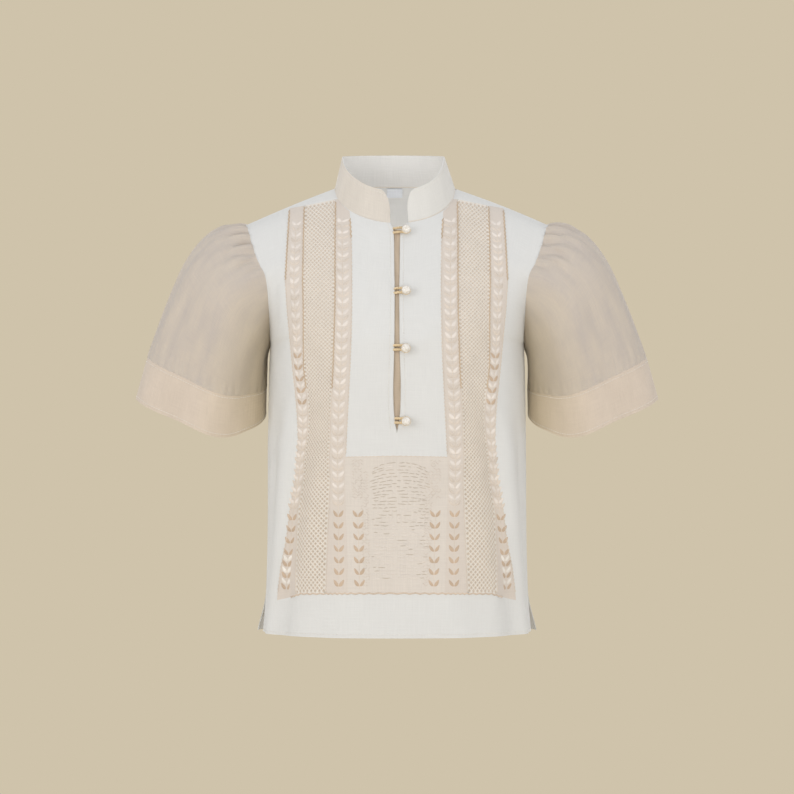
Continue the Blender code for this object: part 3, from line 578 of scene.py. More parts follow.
class Cloth:
    """Half a body panel, sampled closely, so that any point of it can be read."""

    def __init__(self, is_front, side):
        self.is_front, self.side = is_front, side
        self.s = np.linspace(0, 1, 241)
        self.t = np.linspace(0, 1, 481)
        s, t = np.meshgrid(self.s, self.t)
        grid = panel_point(s, t, is_front)
        outward = normals_of(grid) * (1 if is_front else -1)
        folds = FRONT_FOLDS if is_front else BACK_FOLDS
        seam_free = np.clip((1 - s) * 8, 0, 1) * np.clip((1 - t) * 8, 0, 1)
        relief = fold_heights(folds, s * GIRTH_QUARTER, grid[..., 2], side) * seam_free
        relief += creases(s, grid[..., 2], is_front, side) * seam_free
        grid = grid + relief[..., None] * outward
        below_arm = self.t < (FRONT_LEVELS if is_front else BACK_LEVELS)[UNDERARM_LEVEL].t
        level = grid[below_arm, -1, 1]
        seam_y = -SIDE_SEAM_Y if is_front else SIDE_SEAM_Y
        grid[below_arm, -1, 1] = np.where(np.abs(level) < SIDE_SEAM_REACH, seam_y, level)
        grid[..., 0] *= side
        self.grid = shifted(grid)
        self.normal = normals_of(self.grid) * (side if is_front else -side)
        self.normal[:, 0] = self.normal[:, 1]
        self.normal[:, 0, 0] = 0
        self.normal = unit(self.normal)

    def read(self, field, s, t):
        i = np.clip(s, 0, 1) * (len(self.s) - 1)
        j = np.clip(t, 0, 1) * (len(self.t) - 1)
        i0, j0 = np.minimum(i.astype(int), len(self.s) - 2), np.minimum(j.astype(int), len(self.t) - 2)
        fi, fj = (i - i0)[..., None], (j - j0)[..., None]
        low = field[j0, i0] * (1 - fi) + field[j0, i0 + 1] * fi
        high = field[j0 + 1, i0] * (1 - fi) + field[j0 + 1, i0 + 1] * fi
        return low * (1 - fj) + high * fj

    def at(self, s, t, out=0.0):
        """Points of the cloth, moved out along its normal."""
        s, t = np.broadcast_arrays(np.asarray(s, float), np.asarray(t, float))
        out = np.broadcast_to(np.asarray(out, float), s.shape)[..., None]
        return self.read(self.grid, s, t) + self.read(self.normal, s, t) * out

    def laid(self, s, t, out=0.0):
        """The same points, with the cloth's normals there."""
        s, t = np.broadcast_arrays(np.asarray(s, float), np.asarray(t, float))
        return self.at(s, t, out), self.read(self.normal, s, t)

    def find(self, x, z):
        """Where along the cloth it has this x and z, both from the world."""
        x, z = np.broadcast_arrays(np.asarray(x, float), np.asarray(z, float))
        s, t = np.abs(x) / SHOULDER_TIP[0], np.full(x.shape, 0.8)
        step = 0.003
        for _ in range(40):
            here = self.at(s, t)
            along = (self.at(s + step, t) - here) / (np.clip(s + step, 0, 1) - s)[..., None]
            rise = (here - self.at(s, t - step)) / (t - np.clip(t - step, 0, 1))[..., None]
            miss_x, miss_z = x - here[..., 0], z - here[..., 2]
            det = along[..., 0] * rise[..., 2] - rise[..., 0] * along[..., 2]
            s = np.clip(s + (miss_x * rise[..., 2] - miss_z * rise[..., 0]) / det, 0, 1 - step)
            t = np.clip(t + (miss_z * along[..., 0] - miss_x * along[..., 2]) / det, step, 1)
        return s, t

    def near(self, s, t, right, up, out=0.0):
        """Points found by going right and up along the cloth, in metres, from one of its points."""
        step = 0.004
        along = (self.at(s + step, t) - self.at(s - step, t)) / (2 * step)
        rise = (self.at(s, t + step) - self.at(s, t - step)) / (2 * step)
        normal = self.read(self.normal, s, t)
        upward = unit(np.array([0.0, 0.0, 1.0]) - normal * normal[..., 2:])
        rightward = np.cross(upward, normal)
        dot = lambda a, b: (a * b).sum(-1)
        a, b = dot(along, rightward), dot(rise, rightward)
        c, d = dot(along, upward), dot(rise, upward)
        det = a * d - b * c
        ds, dt = (right * d - up * b) / det, (up * a - right * c) / det
        return self.at(s + ds, t + dt, out)


SMALL_CREASES = 46


def creases(s, z, is_front, side):
    """Small soft creases, too slight for the CAD's folds."""
    pick = np.random.default_rng(11 + 2 * is_front + side)
    girth = s * GIRTH_QUARTER
    total = np.zeros_like(girth)
    for _ in range(SMALL_CREASES):
        centre_g, centre_z = pick.uniform(0.0, 0.215), pick.uniform(-0.53, -0.08)
        turn = pick.normal(pi / 2, 0.55)
        long, wide = pick.uniform(0.025, 0.075), pick.uniform(0.006, 0.013)
        height = pick.normal(0, 0.00055)
        dg, dz = girth - centre_g, z - centre_z
        run, off = dg * cos(turn) + dz * sin(turn), -dg * sin(turn) + dz * cos(turn)
        total += height * np.exp(-((run / long) ** 2) - ((off / wide) ** 2))
    return total * np.clip(s * 12, 0, 1)


class Front(Cloth):
    """Half the front, with the net of lines on it: u counts the bands outwards, r the lines upwards."""

    def __init__(self, side):
        super().__init__(True, side)
        x, z = seen_from_front(self.grid)
        out = (x - BAND_CENTRE_X) * side
        world_z = self.grid[..., 2]
        world_x = self.grid[..., 0] * side
        self.edges = [[], [], [], [], [], []]
        heights = [row.height for row in BANDS]
        for j in range(len(self.t)):
            half = slit_half_width(world_z[j], side)
            open_here = world_z[j, 0] > SLIT[0].z
            self.edges[0].append(np.interp(0.0, (world_x[j] - half)[:60], self.s[:60]) if open_here else 0.0)
            for k, name in enumerate(("inner", "net_inner", "net_outer", "outer"), 1):
                wanted = np.interp(z[j], heights, [getattr(row, name) for row in BANDS])
                self.edges[k].append(np.interp(0.0, out[j] - wanted, self.s))
            self.edges[5].append(1.0)
        self.edges = np.array(self.edges)
        self.lines = [np.zeros_like(self.s)]
        for line in (HEM_LINE, PANEL_LINE, *LEVEL_LINES, YOKE_LINE):
            above = z - read_line(line, np.abs(out))
            crossing = [np.interp(0.0, above[:, i], self.t) for i in range(len(self.s))]
            self.lines.append(np.minimum(crossing, YOKE_TOP_T))
        self.lines.append(np.ones_like(self.s))
        self.lines = np.array(self.lines)

    def st(self, u, r):
        u, r = np.broadcast_arrays(np.asarray(u, float), np.asarray(r, float))
        i = np.clip(u.astype(int), 0, 4)
        j = np.clip(r.astype(int), 0, R_TOP - 1)
        t = r / R_TOP
        for _ in range(12):
            knots = np.array([np.interp(t, self.t, edge) for edge in self.edges])
            low = np.take_along_axis(knots, i[None], 0)[0]
            high = np.take_along_axis(knots, i[None] + 1, 0)[0]
            s = low + (high - low) * (u - i)
            knots = np.array([np.interp(s, self.s, line) for line in self.lines])
            low = np.take_along_axis(knots, j[None], 0)[0]
            high = np.take_along_axis(knots, j[None] + 1, 0)[0]
            t = low + (high - low) * (r - j)
        return s, t

    def r_at(self, u, heights):
        """The r at which the line u shows at these heights in the picture."""
        fine = np.linspace(0.0, R_TOP - 0.001, 1600)
        s, t = self.st(np.full_like(fine, u), fine)
        _, z = seen_from_front(self.at(s, t))
        return np.interp(heights, z, fine)


def placed(name, data):
    """A new object in the scene."""
    obj = bpy.data.objects.new(name, data)
    bpy.context.scene.collection.objects.link(obj)
    return obj


def piece(name, points, faces, look, uv=None, wall=0.0, merge=False, second=None):
    """A mesh that rides with the shirt, its faces coloured by look. second is another look and its faces."""
    mesh = bpy.data.meshes.new(name)
    mesh.from_pydata(np.asarray(points).reshape(-1, 3).tolist(), [], [tuple(map(int, f)) for f in faces])
    if uv is not None:
        layer = mesh.uv_layers.new(name="cloth")
        corner = np.zeros(len(mesh.loops), dtype=int)
        mesh.loops.foreach_get("vertex_index", corner)
        layer.data.foreach_set("uv", np.asarray(uv).reshape(-1, 2)[corner].astype(np.float32).ravel())
    if merge:
        work = bmesh.new()
        work.from_mesh(mesh)
        bmesh.ops.remove_doubles(work, verts=work.verts, dist=0.000004)
        work.to_mesh(mesh)
        work.free()
    obj = placed(name, mesh)
    mesh.materials.append(look)
    if second:
        mesh.materials.append(second[0])
        for number in second[1]:
            mesh.polygons[number].material_index = 1
    mesh.shade_smooth()
    if wall:
        solid = obj.modifiers.new("Wall", "SOLIDIFY")
        solid.thickness = wall
        solid.offset = 0.0
        solid.use_even_offset = False
        walled = bpy.data.meshes.new_from_object(obj.evaluated_get(bpy.context.evaluated_depsgraph_get()))
        obj.modifiers.clear()
        obj.data = walled
        walled.set_sharp_from_angle(angle=radians(60))
    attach(obj, "root")
    return obj


def grid_quads(rows, columns, start=0, flip=False, closed=False, keep=None):
    """Quads over rows by columns of points."""
    faces = []
    for row in range(rows - 1):
        for column in range(columns if closed else columns - 1):
            if keep is not None and not keep(row, column):
                continue
            after = (column + 1) % columns
            a, b = start + row * columns + column, start + row * columns + after
            c, d = b + columns, a + columns
            faces.append((d, c, b, a) if flip else (a, b, c, d))
    return faces


def tubes(runs, radius, sides=6):
    """Round cords. Each run is a path and the outward direction along it."""
    points, faces, start = [], [], 0
    ring = np.linspace(0, 2 * pi, sides, endpoint=False)
    for path, up in runs:
        path = np.asarray(path)
        forward = unit(np.gradient(path, axis=0))
        side = unit(np.cross(forward, np.broadcast_to(up, path.shape)))
        above = np.cross(side, forward)
        thick = np.full(len(path), radius)
        thick[0] = thick[-1] = radius * CORD_END_SHARE
        circle = side[:, None] * np.cos(ring)[None, :, None] + above[:, None] * np.sin(ring)[None, :, None]
        points.append((path[:, None] + circle * thick[:, None, None]).reshape(-1, 3))
        faces += grid_quads(len(path), sides, start, closed=True)
        faces.append(tuple(range(start + sides - 1, start - 1, -1)))
        start += len(path) * sides
        faces.append(tuple(range(start - sides, start)))
    return np.concatenate(points), faces


def cords(name, runs, radius, look, sides=6, has_weave=False):
    """A piece made of cords. has_weave lays the cloth's weave on it."""
    points, faces = tubes(runs, radius, sides)
    return piece(name, points, faces, look, points[:, [0, 2]] if has_weave else None)


def stitches(path, up):
    """Short straight threads laid end to end along a path, as runs for tubes()."""
    up = np.broadcast_to(up, path.shape)
    far = distances(path)
    count = int(far[-1] / (STITCH_LENGTH + STITCH_GAP))
    runs = []
    for i in range(count):
        start = (i + 0.5) * far[-1] / count - STITCH_LENGTH / 2
        at = start + STITCH_AT * STITCH_LENGTH
        out = read_along(up, far, at)
        runs.append((read_along(path, far, at) + out * (STITCH_RISE[:, None] * STITCH_LIFT), out))
    return runs


# Colours, as light reflected, from 0 to 1
WHITE_LINEN = (0.76, 0.76, 0.75)
BAND_CLOTH = (0.715, 0.645, 0.582)
NET_THREAD = (0.685, 0.640, 0.585)
# painted shade: the ring round each net hole is darker tan for the shirt's inside, in shade, seen through the
# hole
NET_HOLE_PAINTED_SHADE = (0.585, 0.495, 0.405)
# One satin leaf thread in four colours, as lit and shaded copies: tan is it in painted shade, soft is it in
# lighter shade, and the satin and white colours are painted highlights of its sheen
LEAF_TAN = (0.55, 0.42, 0.31)
LEAF_SOFT = (0.67, 0.59, 0.515)
LEAF_HIGHLIGHT_AND_PALE = (0.765, 0.70, 0.645)
LEAF_WHITE_HIGHLIGHT = (0.82, 0.775, 0.72)
CORD_TAN = (0.56, 0.43, 0.30)
CORD_PALE = (0.71, 0.62, 0.53)
DASH_SHADE = (0.55, 0.48, 0.40)
SLEEVE_CLOTH = (0.70, 0.63, 0.56)
CUFF_CLOTH = (0.63, 0.54, 0.455)
COLLAR_CLOTH = (0.755, 0.705, 0.64)
UNDERLAP_CLOTH = (0.52, 0.42, 0.32)
LOOP_GOLD = (0.74, 0.58, 0.36)
LABEL_TAPE = (0.68, 0.71, 0.76)
PANEL_CLOTH = (0.735, 0.675, 0.615)
LINING_CLOTH = (0.74, 0.73, 0.71)
CORD_HEM = (0.66, 0.54, 0.43)
SEWING_THREAD = (0.78, 0.75, 0.70)


class Look:
    """A procedural material built up node by node."""

    def __init__(self, name):
        self.material = bpy.data.materials.new(name)
        self.material.use_nodes = True
        self.nodes = self.material.node_tree.nodes
        self.links = self.material.node_tree.links
        self.shader = self.nodes["Principled BSDF"]

    def feed(self, socket, value):
        if isinstance(value, bpy.types.NodeSocket):
            self.links.new(value, socket)
        else:
            socket.default_value = value

    def add(self, kind, inputs=None, **settings):
        """A new node. inputs gives its sockets a value or the output of another node."""
        made = self.nodes.new(kind)
        for key, value in settings.items():
            setattr(made, key, value)
        for key, value in (inputs or {}).items():
            self.feed(made.inputs[key], value)
        return made

    def set(self, name, value):
        self.feed(self.shader.inputs[name], value)

    def scaled(self, source, scale):
        return self.add("ShaderNodeMapping", {"Vector": source, "Scale": scale}).outputs["Vector"]

    def noise(self, vector, scale, detail=3.0, rough=0.5):
        inputs = {"Vector": vector, "Scale": scale, "Detail": detail, "Roughness": rough}
        return self.add("ShaderNodeTexNoise", inputs).outputs["Fac"]

    def wave(self, vector, scale, direction):
        inputs = {"Vector": vector, "Scale": scale, "Distortion": 0.6, "Detail": 1.0}
        return self.add("ShaderNodeTexWave", inputs, bands_direction=direction).outputs["Fac"]

    def math(self, operation, a, b):
        return self.add("ShaderNodeMath", {0: a, 1: b}, operation=operation).outputs[0]

    def ramp(self, factor, low, high):
        made = self.add("ShaderNodeValToRGB", {"Fac": factor})
        for stop, position, colour in zip(made.color_ramp.elements, (0.35, 0.65), (low, high)):
            stop.position = position
            stop.color = (*colour, 1.0)
        return made.outputs["Color"]

    def range(self, factor, low, high, start=0.0, end=1.0):
        inputs = {"Value": factor, "From Min": start, "From Max": end, "To Min": low, "To Max": high}
        return self.add("ShaderNodeMapRange", inputs).outputs["Result"]

    def bump(self, height, strength, distance):
        inputs = {"Height": height, "Strength": strength, "Distance": distance}
        self.set("Normal", self.add("ShaderNodeBump", inputs).outputs["Normal"])


THREAD_GRAIN = (1400.0, 1400.0, 1400.0 * 0.35)


def tinted(colour, factor):
    return tuple(min(1.0, c * factor) for c in colour)


def woven(
    name, colour, thread=0.0007, slubs=0.06, relief=0.5, roughness=0.85, sheen=0.15, through=0.0, wide=1.0,
    glow_colour=None, slow=0.28, ends=None, far_ends=None, far=None,
):
    """Woven cloth: threads both ways, thicker slubs here and there, and slow changes of tone.

    ends are its darkest and lightest colour. far_ends is a second pair, blended in round the place far[0]
    across the cloth, from far[1] to far[2] away: on the sleeves and cuffs a darker olive, painted shade of
    the underside that faces the body, and on the collar a whiter tone of its left front. wide is how narrow
    the slow changes are across the cloth.
    """
    look = Look(name)
    place = look.add("ShaderNodeUVMap", uv_map="cloth").outputs["UV"]
    warp = look.wave(place, 0.05 / thread, "X")
    weft = look.wave(place, 0.05 / thread, "Y")
    long_slubs = look.noise(look.scaled(place, (1500.0, 40.0, 1.0)), 1.0)
    cross_slubs = look.noise(look.scaled(place, (40.0, 1500.0, 1.0)), 1.0)
    tone = look.noise(look.scaled(place, (14.0 * wide, 10.0, 1.0)), 1.0, 5.0, 0.6)
    mixed = look.math("MULTIPLY", look.math("ADD", long_slubs, cross_slubs), (1 - slow) / 2)
    mixed = look.math("ADD", mixed, look.math("MULTIPLY", tone, slow))
    base = look.ramp(mixed, *(ends or (tinted(colour, 1 - slubs), tinted(colour, 1 + slubs * 0.6))))
    if far_ends:
        across = look.add("ShaderNodeSeparateXYZ", {0: place}).outputs["X"]
        away = look.math("ABSOLUTE", look.math("SUBTRACT", across, far[0]), 0.0)
        share = look.range(away, 0.0, 1.0, *far[1:])
        far_base = look.ramp(mixed, *far_ends)
        base = look.add("ShaderNodeMix", data_type="RGBA", inputs={0: share, 6: base, 7: far_base}).outputs[2]
    look.set("Base Color", base)
    look.set("Roughness", look.range(tone, roughness - 0.07, min(1.0, roughness + 0.07)))
    look.set("Sheen Weight", sheen)
    look.set("Sheen Roughness", 0.5)
    look.set("Specular IOR Level", 0.25)
    weave = look.math("MULTIPLY", look.math("ADD", warp, weft), 0.22)
    height = look.math("ADD", weave, look.math("MULTIPLY", look.math("ADD", long_slubs, cross_slubs), 0.6))
    look.bump(height, relief, 0.0003)
    if through:
        glow = look.add("ShaderNodeBsdfTranslucent", {"Color": (*(glow_colour or colour), 1.0)})
        inputs = {0: through, 1: look.shader.outputs["BSDF"], 2: glow.outputs["BSDF"]}
        mix = look.add("ShaderNodeMixShader", inputs)
        look.feed(look.nodes["Material Output"].inputs["Surface"], mix.outputs["Shader"])
    return look.material


def thread(name, colour, roughness=0.55, shine=0.35, low=0.86):
    """Sewing or embroidery thread: fine strands that catch a little light."""
    look = Look(name)
    place = look.add("ShaderNodeTexCoord").outputs["Object"]
    strands = look.noise(look.scaled(place, THREAD_GRAIN), 1.0, 2.0)
    tone = look.noise(place, 55.0, 3.0)
    mixed = look.math("ADD", look.math("MULTIPLY", strands, 0.4), look.math("MULTIPLY", tone, 0.6))
    look.set("Base Color", look.ramp(mixed, tinted(colour, low), tinted(colour, 1.08)))
    look.set("Roughness", look.range(strands, roughness - 0.1, roughness + 0.1))
    look.set("Sheen Weight", 0.2)
    look.set("Specular IOR Level", shine)
    look.bump(strands, 0.35, 0.0003)
    return look.material


def pearly(name):
    """A cloudy pearl under a clear coat."""
    look = Look(name)
    place = look.add("ShaderNodeTexCoord").outputs["Object"]
    cloud = look.noise(place, 420.0, 3.0)
    look.set("Base Color", look.ramp(cloud, (0.66, 0.61, 0.54), (0.86, 0.83, 0.79)))
    look.set("Roughness", look.range(cloud, 0.06, 0.14))
    look.set("Specular IOR Level", 0.6)
    look.set("Coat Weight", 0.7)
    look.set("Coat Roughness", 0.06)
    look.bump(cloud, 0.05, 0.0002)
    return look.material


# The middle of the underside round a sleeve or cuff, and where its deeper olive colour, a painted shade of
# the side that faces the body, starts and is full
UNDERARM = (pi * SLEEVE_FLAT_RADIUS, 0.125, 0.025)
# The collar's left front end, and where its whiter colour starts and is full
COLLAR_LEFT_END = (0.447, 0.367, 0.087)

LINEN = woven("white_linen", WHITE_LINEN, slubs=0.05, through=0.12)
BACK_LINEN = woven("back_linen_weave", WHITE_LINEN, slubs=0.05, through=0.35)
BAND = woven("band_cloth", BAND_CLOTH, slubs=0.08, relief=0.8, roughness=0.7, sheen=0.25, through=0.1)
NET = thread("net_thread", NET_THREAD, 0.6, low=1.02)
# the net's second look, on the ring round each hole, is painted shade
NET_HOLE_SHADE_LOOK = thread("net_hole_painted_shade", NET_HOLE_PAINTED_SHADE, 0.8, low=1.0)
SLEEVE = woven(
    "sleeve_voile", SLEEVE_CLOTH, thread=0.0006, relief=0.7, roughness=0.8, sheen=0.3, through=0.3, wide=3.0,
    glow_colour=(0.72, 0.62, 0.46), slow=0.5, ends=((0.62, 0.57, 0.545), (0.80, 0.72, 0.62)),
    # far_ends: a darker olive, painted shade of the underside where the sleeve faces the body
    far_ends=((0.58, 0.50, 0.36), (0.68, 0.59, 0.43)), far=UNDERARM,
)
CUFF = woven(
    "cuff_linen", CUFF_CLOTH, slubs=0.12, relief=0.8, sheen=0.2, wide=2.0, slow=0.5,
    # far_ends: a darker olive, painted shade of the cuff's underside next to the body
    far_ends=((0.54, 0.445, 0.30), (0.63, 0.525, 0.37)), far=UNDERARM,
)
COLLAR = woven(
    "collar_cloth", COLLAR_CLOTH, slubs=0.12, relief=0.9, through=0.1, wide=3.0, slow=0.45,
    ends=((0.65, 0.60, 0.54), (0.79, 0.73, 0.655)), far_ends=((0.71, 0.695, 0.665), (0.80, 0.785, 0.75)),
    far=COLLAR_LEFT_END,
)
COLLAR_INSIDE = woven("collar_lining", LINING_CLOTH, slubs=0.08, relief=0.8, through=0.1)
UNDERLAP = woven("underlap_twill", UNDERLAP_CLOTH, slubs=0.22, relief=0.8, wide=12.0, slow=0.5)
PANEL = woven(
    "panel_cloth", PANEL_CLOTH, slubs=0.09, relief=0.8, roughness=0.7, sheen=0.25, through=0.1
)
LABEL = woven("label_tape_weave", LABEL_TAPE, thread=0.0005, slubs=0.10, roughness=0.6)
# the leaf thread as lit and shaded copies: tan in painted shade, soft in lighter shade, then two painted
# highlights
TAN_LEAF = thread("leaf_silk_tan", LEAF_TAN)
SOFT_LEAF = thread("leaf_silk_soft", LEAF_SOFT)
# satin: a painted highlight on the leaves, and the colour of the pale drawn threads as well
HIGHLIGHT_AND_PALE_SILK = thread("silk_highlight_and_pale", LEAF_HIGHLIGHT_AND_PALE, 0.45, shine=0.5)
# white: a painted highlight on the lowest outer leaves
WHITE_HIGHLIGHT_LEAF = thread("leaf_white_highlight", LEAF_WHITE_HIGHLIGHT, 0.4, shine=0.5)
TAN_CORD = thread("cord_tan", CORD_TAN)
PALE_CORD = thread("cord_pale", CORD_PALE)
HEM_CORD = thread("cord_hem", CORD_HEM)
DASH = thread("drawn_thread", DASH_SHADE, 0.8)
GOLD = thread("loop_gold", LOOP_GOLD, 0.45, shine=0.5)
SEWING = thread("sewing_thread", SEWING_THREAD, 0.6)
PEARL = pearly("pearl_coat")


def body_at(x, z, is_front=True):
    """Points of the cloth at each x and z, with their outward normals."""
    x, z = np.broadcast_arrays(np.asarray(x, float), np.asarray(z, float))
    points, normals = np.zeros((*x.shape, 3)), np.zeros((*x.shape, 3))
    centre_x = shifted(np.stack([np.zeros_like(x), np.zeros_like(x), z], -1))[..., 0]
    for side, half in (FRONTS if is_front else BACKS).items():
        here = x >= centre_x if side > 0 else x < centre_x
        if here.any():
            s, t = half.find(x[here], z[here])
            points[here], normals[here] = half.at(s, t), half.read(half.normal, s, t)
    return points, normals


def stops(counts):
    """Even steps between whole numbers: counts[i] of them between i and i + 1."""
    return np.concatenate([[0.0]] + [i + np.arange(1, n + 1) / n for i, n in enumerate(counts)])


FRONTS = {side: Front(side) for side in (-1, 1)}
BACKS = {side: Cloth(False, side) for side in (-1, 1)}
ROWS = stops(FRONT_ROW_COUNTS)
COLUMNS = stops(FRONT_COLUMN_COUNTS)
FRONT_GRIDS = {}
for side in (-1, 1):
    column, row = np.meshgrid(COLUMNS, ROWS)
    s, t = FRONTS[side].st(column, row)
    flat = np.stack([side * s * GIRTH_QUARTER, t * FRONT_FLAT_LENGTH], -1)
    FRONT_GRIDS[side] = (FRONTS[side].at(s, t), flat)


def front_piece(name, look, wanted, sides=(-1, 1)):
    """The part of the front where wanted(u, r) is true, u and r being the middle of a face."""
    points, uv, faces = [], [], []
    rows, columns = len(ROWS), len(COLUMNS)
    u_middle = (COLUMNS[:-1] + COLUMNS[1:]) / 2
    r_middle = (ROWS[:-1] + ROWS[1:]) / 2
    for side in sides:
        grid, flat = FRONT_GRIDS[side]
        start = sum(len(p) for p in points)
        points.append(grid.reshape(-1, 3))
        uv.append(flat.reshape(-1, 2))
        keep = lambda r, c: wanted(u_middle[c], r_middle[r])
        faces += grid_quads(rows, columns, start, flip=side < 0, keep=keep)
    points, uv = np.concatenate(points), np.concatenate(uv)
    used = sorted({i for face in faces for i in face})
    renumber = {old: new for new, old in enumerate(used)}
    faces = [tuple(renumber[i] for i in face) for face in faces]
    return piece(name, points[used], faces, look, uv[used], LINEN_WALL, merge=True)


def is_white(u, r):
    return r < R_HEM or u > 4 or (u > 1 and r > R_YOKE) or (u < 1 and r > R_PANEL)


front_linen = front_piece("front_linen", LINEN, is_white)
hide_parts("front")
centre_panel = front_piece("centre_panel", PANEL, lambda u, r: u < 1 and R_HEM < r < R_PANEL)
for side, word in SIDES:
    for name, low in (("inner", 1), ("outer", 3)):
        in_band = lambda u, r: low < u < low + 1 and R_HEM < r < R_YOKE
        front_piece(f"band_{name}_{word}", BAND, in_band, sides=(side,))


def net_piece(name, side):
    """A lattice of diamond cells, each with a hole, between the two leaf bands. The ring round each hole
    takes a darker look, painted shade of the inside seen through the hole.
    """
    half = FRONTS[side]
    heights = [HEM_LINE[0].z]
    top = read_line(YOKE_LINE, 0.092)
    while heights[-1] < top:
        heights.append(heights[-1] + read_line(NET_CELL_HEIGHTS, heights[-1]))
    heights = np.array(heights)
    foot = HEM_LINE[0].z
    heights = foot + (heights - foot) * (top - foot) / (heights[-1] - foot)
    r_of = half.r_at(2.5, heights)
    r_of[0], r_of[-1] = R_HEM, R_YOKE
    across, along = NET_CELLS_ACROSS, len(heights) - 1
    points, faces, index, painted_shade_faces = [], [], {}, []

    def vertex(a, b, out):
        key = (round(a, 4), round(b, 4))
        if key not in index:
            index[key] = len(points)
            points.append((a, b, out))
        return index[key]

    def cell(ca, cb):
        corners = [(ca + 0.5, cb), (ca, cb + 0.5), (ca - 0.5, cb), (ca, cb - 0.5)]
        inside = [c for c in corners if 0 <= c[0] <= across and 0 <= c[1] <= along]
        if len(inside) < 4:
            if len(inside) == 3:
                faces.append([vertex(*c, 0.0003) for c in inside])
            return
        rings = [[], [], []]
        for i in range(4):
            p, q = corners[i], corners[(i + 1) % 4]
            middle = ((p[0] + q[0]) / 2, (p[1] + q[1]) / 2)
            for spot, thread_at, hole_at, high in (
                (p, THREAD_AT[0], HOLE_AT[0], 0.00050),
                (middle, THREAD_AT[1], HOLE_AT[1], 0.00030),
            ):
                for ring, share, out in zip(rings, (1.0, thread_at, hole_at), (high, 0.0, -0.0004)):
                    ring.append(vertex(ca + (spot[0] - ca) * share, cb + (spot[1] - cb) * share, out))
        # the inner ring, round the hole, takes the painted shade look
        for outer, inner, is_inner in ((rings[0], rings[1], False), (rings[1], rings[2], True)):
            for i in range(8):
                j = (i + 1) % 8
                if is_inner:
                    painted_shade_faces.append(len(faces))
                faces.append([outer[i], outer[j], inner[j], inner[i]])

    for b in range(along + 1):
        for a in range(across + 1):
            cell(a, b)
            if a < across and b < along:
                cell(a + 0.5, b + 0.5)
    laid = np.array(points)
    u = 2 + laid[:, 0] / across
    r = np.interp(laid[:, 1], np.arange(along + 1), r_of)
    s, t = half.st(u, r)
    flat = np.stack([side * s * GIRTH_QUARTER, t * FRONT_FLAT_LENGTH], -1)
    place = half.at(s, t, laid[:, 2])
    # faces turn anticlockwise seen from outside
    if side < 0:
        faces = [face[::-1] for face in faces]
    return piece(name, place, faces, NET, flat, second=(NET_HOLE_SHADE_LOOK, painted_shade_faces))


nets = [net_piece("net_right", -1), net_piece("net_left", 1)]


def leaf_shape(reach, rise, width):
    """Points across and up from the foot of a leaf, and their heights: stations by points across."""
    along = np.linspace(0, 1, 8)[:, None]
    across = np.linspace(-1, 1, 5)[None, :]
    middle_x = reach * along
    middle_z = rise * along**1.6
    lean_x, lean_z = reach, rise * 1.6 * np.maximum(along, 0.05) ** 0.6
    length = np.hypot(lean_x, lean_z)
    half = width / 2 * np.sin(pi * np.clip(along, 0.10, 0.985) ** 0.85) ** 0.7
    x = middle_x - lean_z / length * half * across
    z = middle_z + lean_x / length * half * across
    high = LEAF_RISE * np.sin(pi * np.clip(along, 0.10, 0.97)) ** 0.6 * (1 - across**2)
    high = high + 0.0001 - LINEN_WALL / 4
    return x, z, high


def leaves(name, look, spots):
    """Pairs of leaves at each spot: (half, u, r, reach, rise)."""
    points, faces = [], []
    for half, u, r, reach, rise in spots:
        s, t = half.st(u, r)
        for way in (-1, 1):
            x, z, high = leaf_shape(reach, rise, LEAF_WIDTH * rng.uniform(0.9, 1.1))
            x = x * way
            x, z = x.ravel(), z.ravel()
            leaf = half.near(np.full_like(x, s), np.full_like(x, t), x, z, high.ravel())
            faces += grid_quads(8, 5, len(points) * 40, flip=way > 0)
            points.append(leaf)
    return piece(name, np.concatenate(points), faces, look)


# Each leaf is tan, as painted shade, where it is low or in one band of heights on the outer line, and soft
# elsewhere. Above the low rows, and at the lowest rows of the outer line, a copy set a little higher is a
# painted highlight: satin, and white at the lowest.
tan_spots, soft_spots, satin_highlight_spots, white_highlight_spots, stems = [], [], [], [], []
for half in FRONTS.values():
    for line in LEAF_LINES:
        is_outer = line.high_u > 2
        heights = np.arange(LEAF_FIRST + line.first_shift, line.top, LEAF_STEP)
        us = np.interp(heights, (-0.46, -0.26), (line.low_u, line.high_u))
        places = np.array([float(half.r_at(u, height)) for u, height in zip(us, heights)])
        for u, height, r in zip(us, heights, places):
            is_low = height < LOW_LEAVES
            is_white_highlight = is_outer and height < WHITE_HIGHLIGHT_BELOW
            reach, rise = (line.low_reach, LOW_LEAF_RISE) if is_low else (line.high_reach, HIGH_LEAF_RISE)
            in_deep_shade = is_low or (is_outer and DEEP_SHADE_LEAVES[0] < height < DEEP_SHADE_LEAVES[1])
            (tan_spots if in_deep_shade else soft_spots).append((half, u, r, reach, rise))
            if not is_low or is_white_highlight:
                above = float(half.r_at(u, height + HIGHLIGHT_LEAF_SHIFT))
                (white_highlight_spots if is_white_highlight else satin_highlight_spots).append((half, u, above, reach * 0.95, rise))
        fine = np.linspace(places[0] - 0.02, places[-1], 160)
        stems.append(half.laid(*half.st(np.interp(fine, places, us), fine), STEM_LIFT))
    r = half.r_at(PANEL_STEM_U, LEAF_FIRST + LEAF_STEP * np.arange(PANEL_LEAVES))
    tan_spots += [(half, PANEL_STEM_U, r_one, LEAF_LINES[0].low_reach, LOW_LEAF_RISE) for r_one in r]
    fine = np.linspace(r[0] - 0.02, r[-1] + 0.03, 40)
    stems.append(half.laid(*half.st(np.full(40, PANEL_STEM_U), fine), STEM_LIFT))
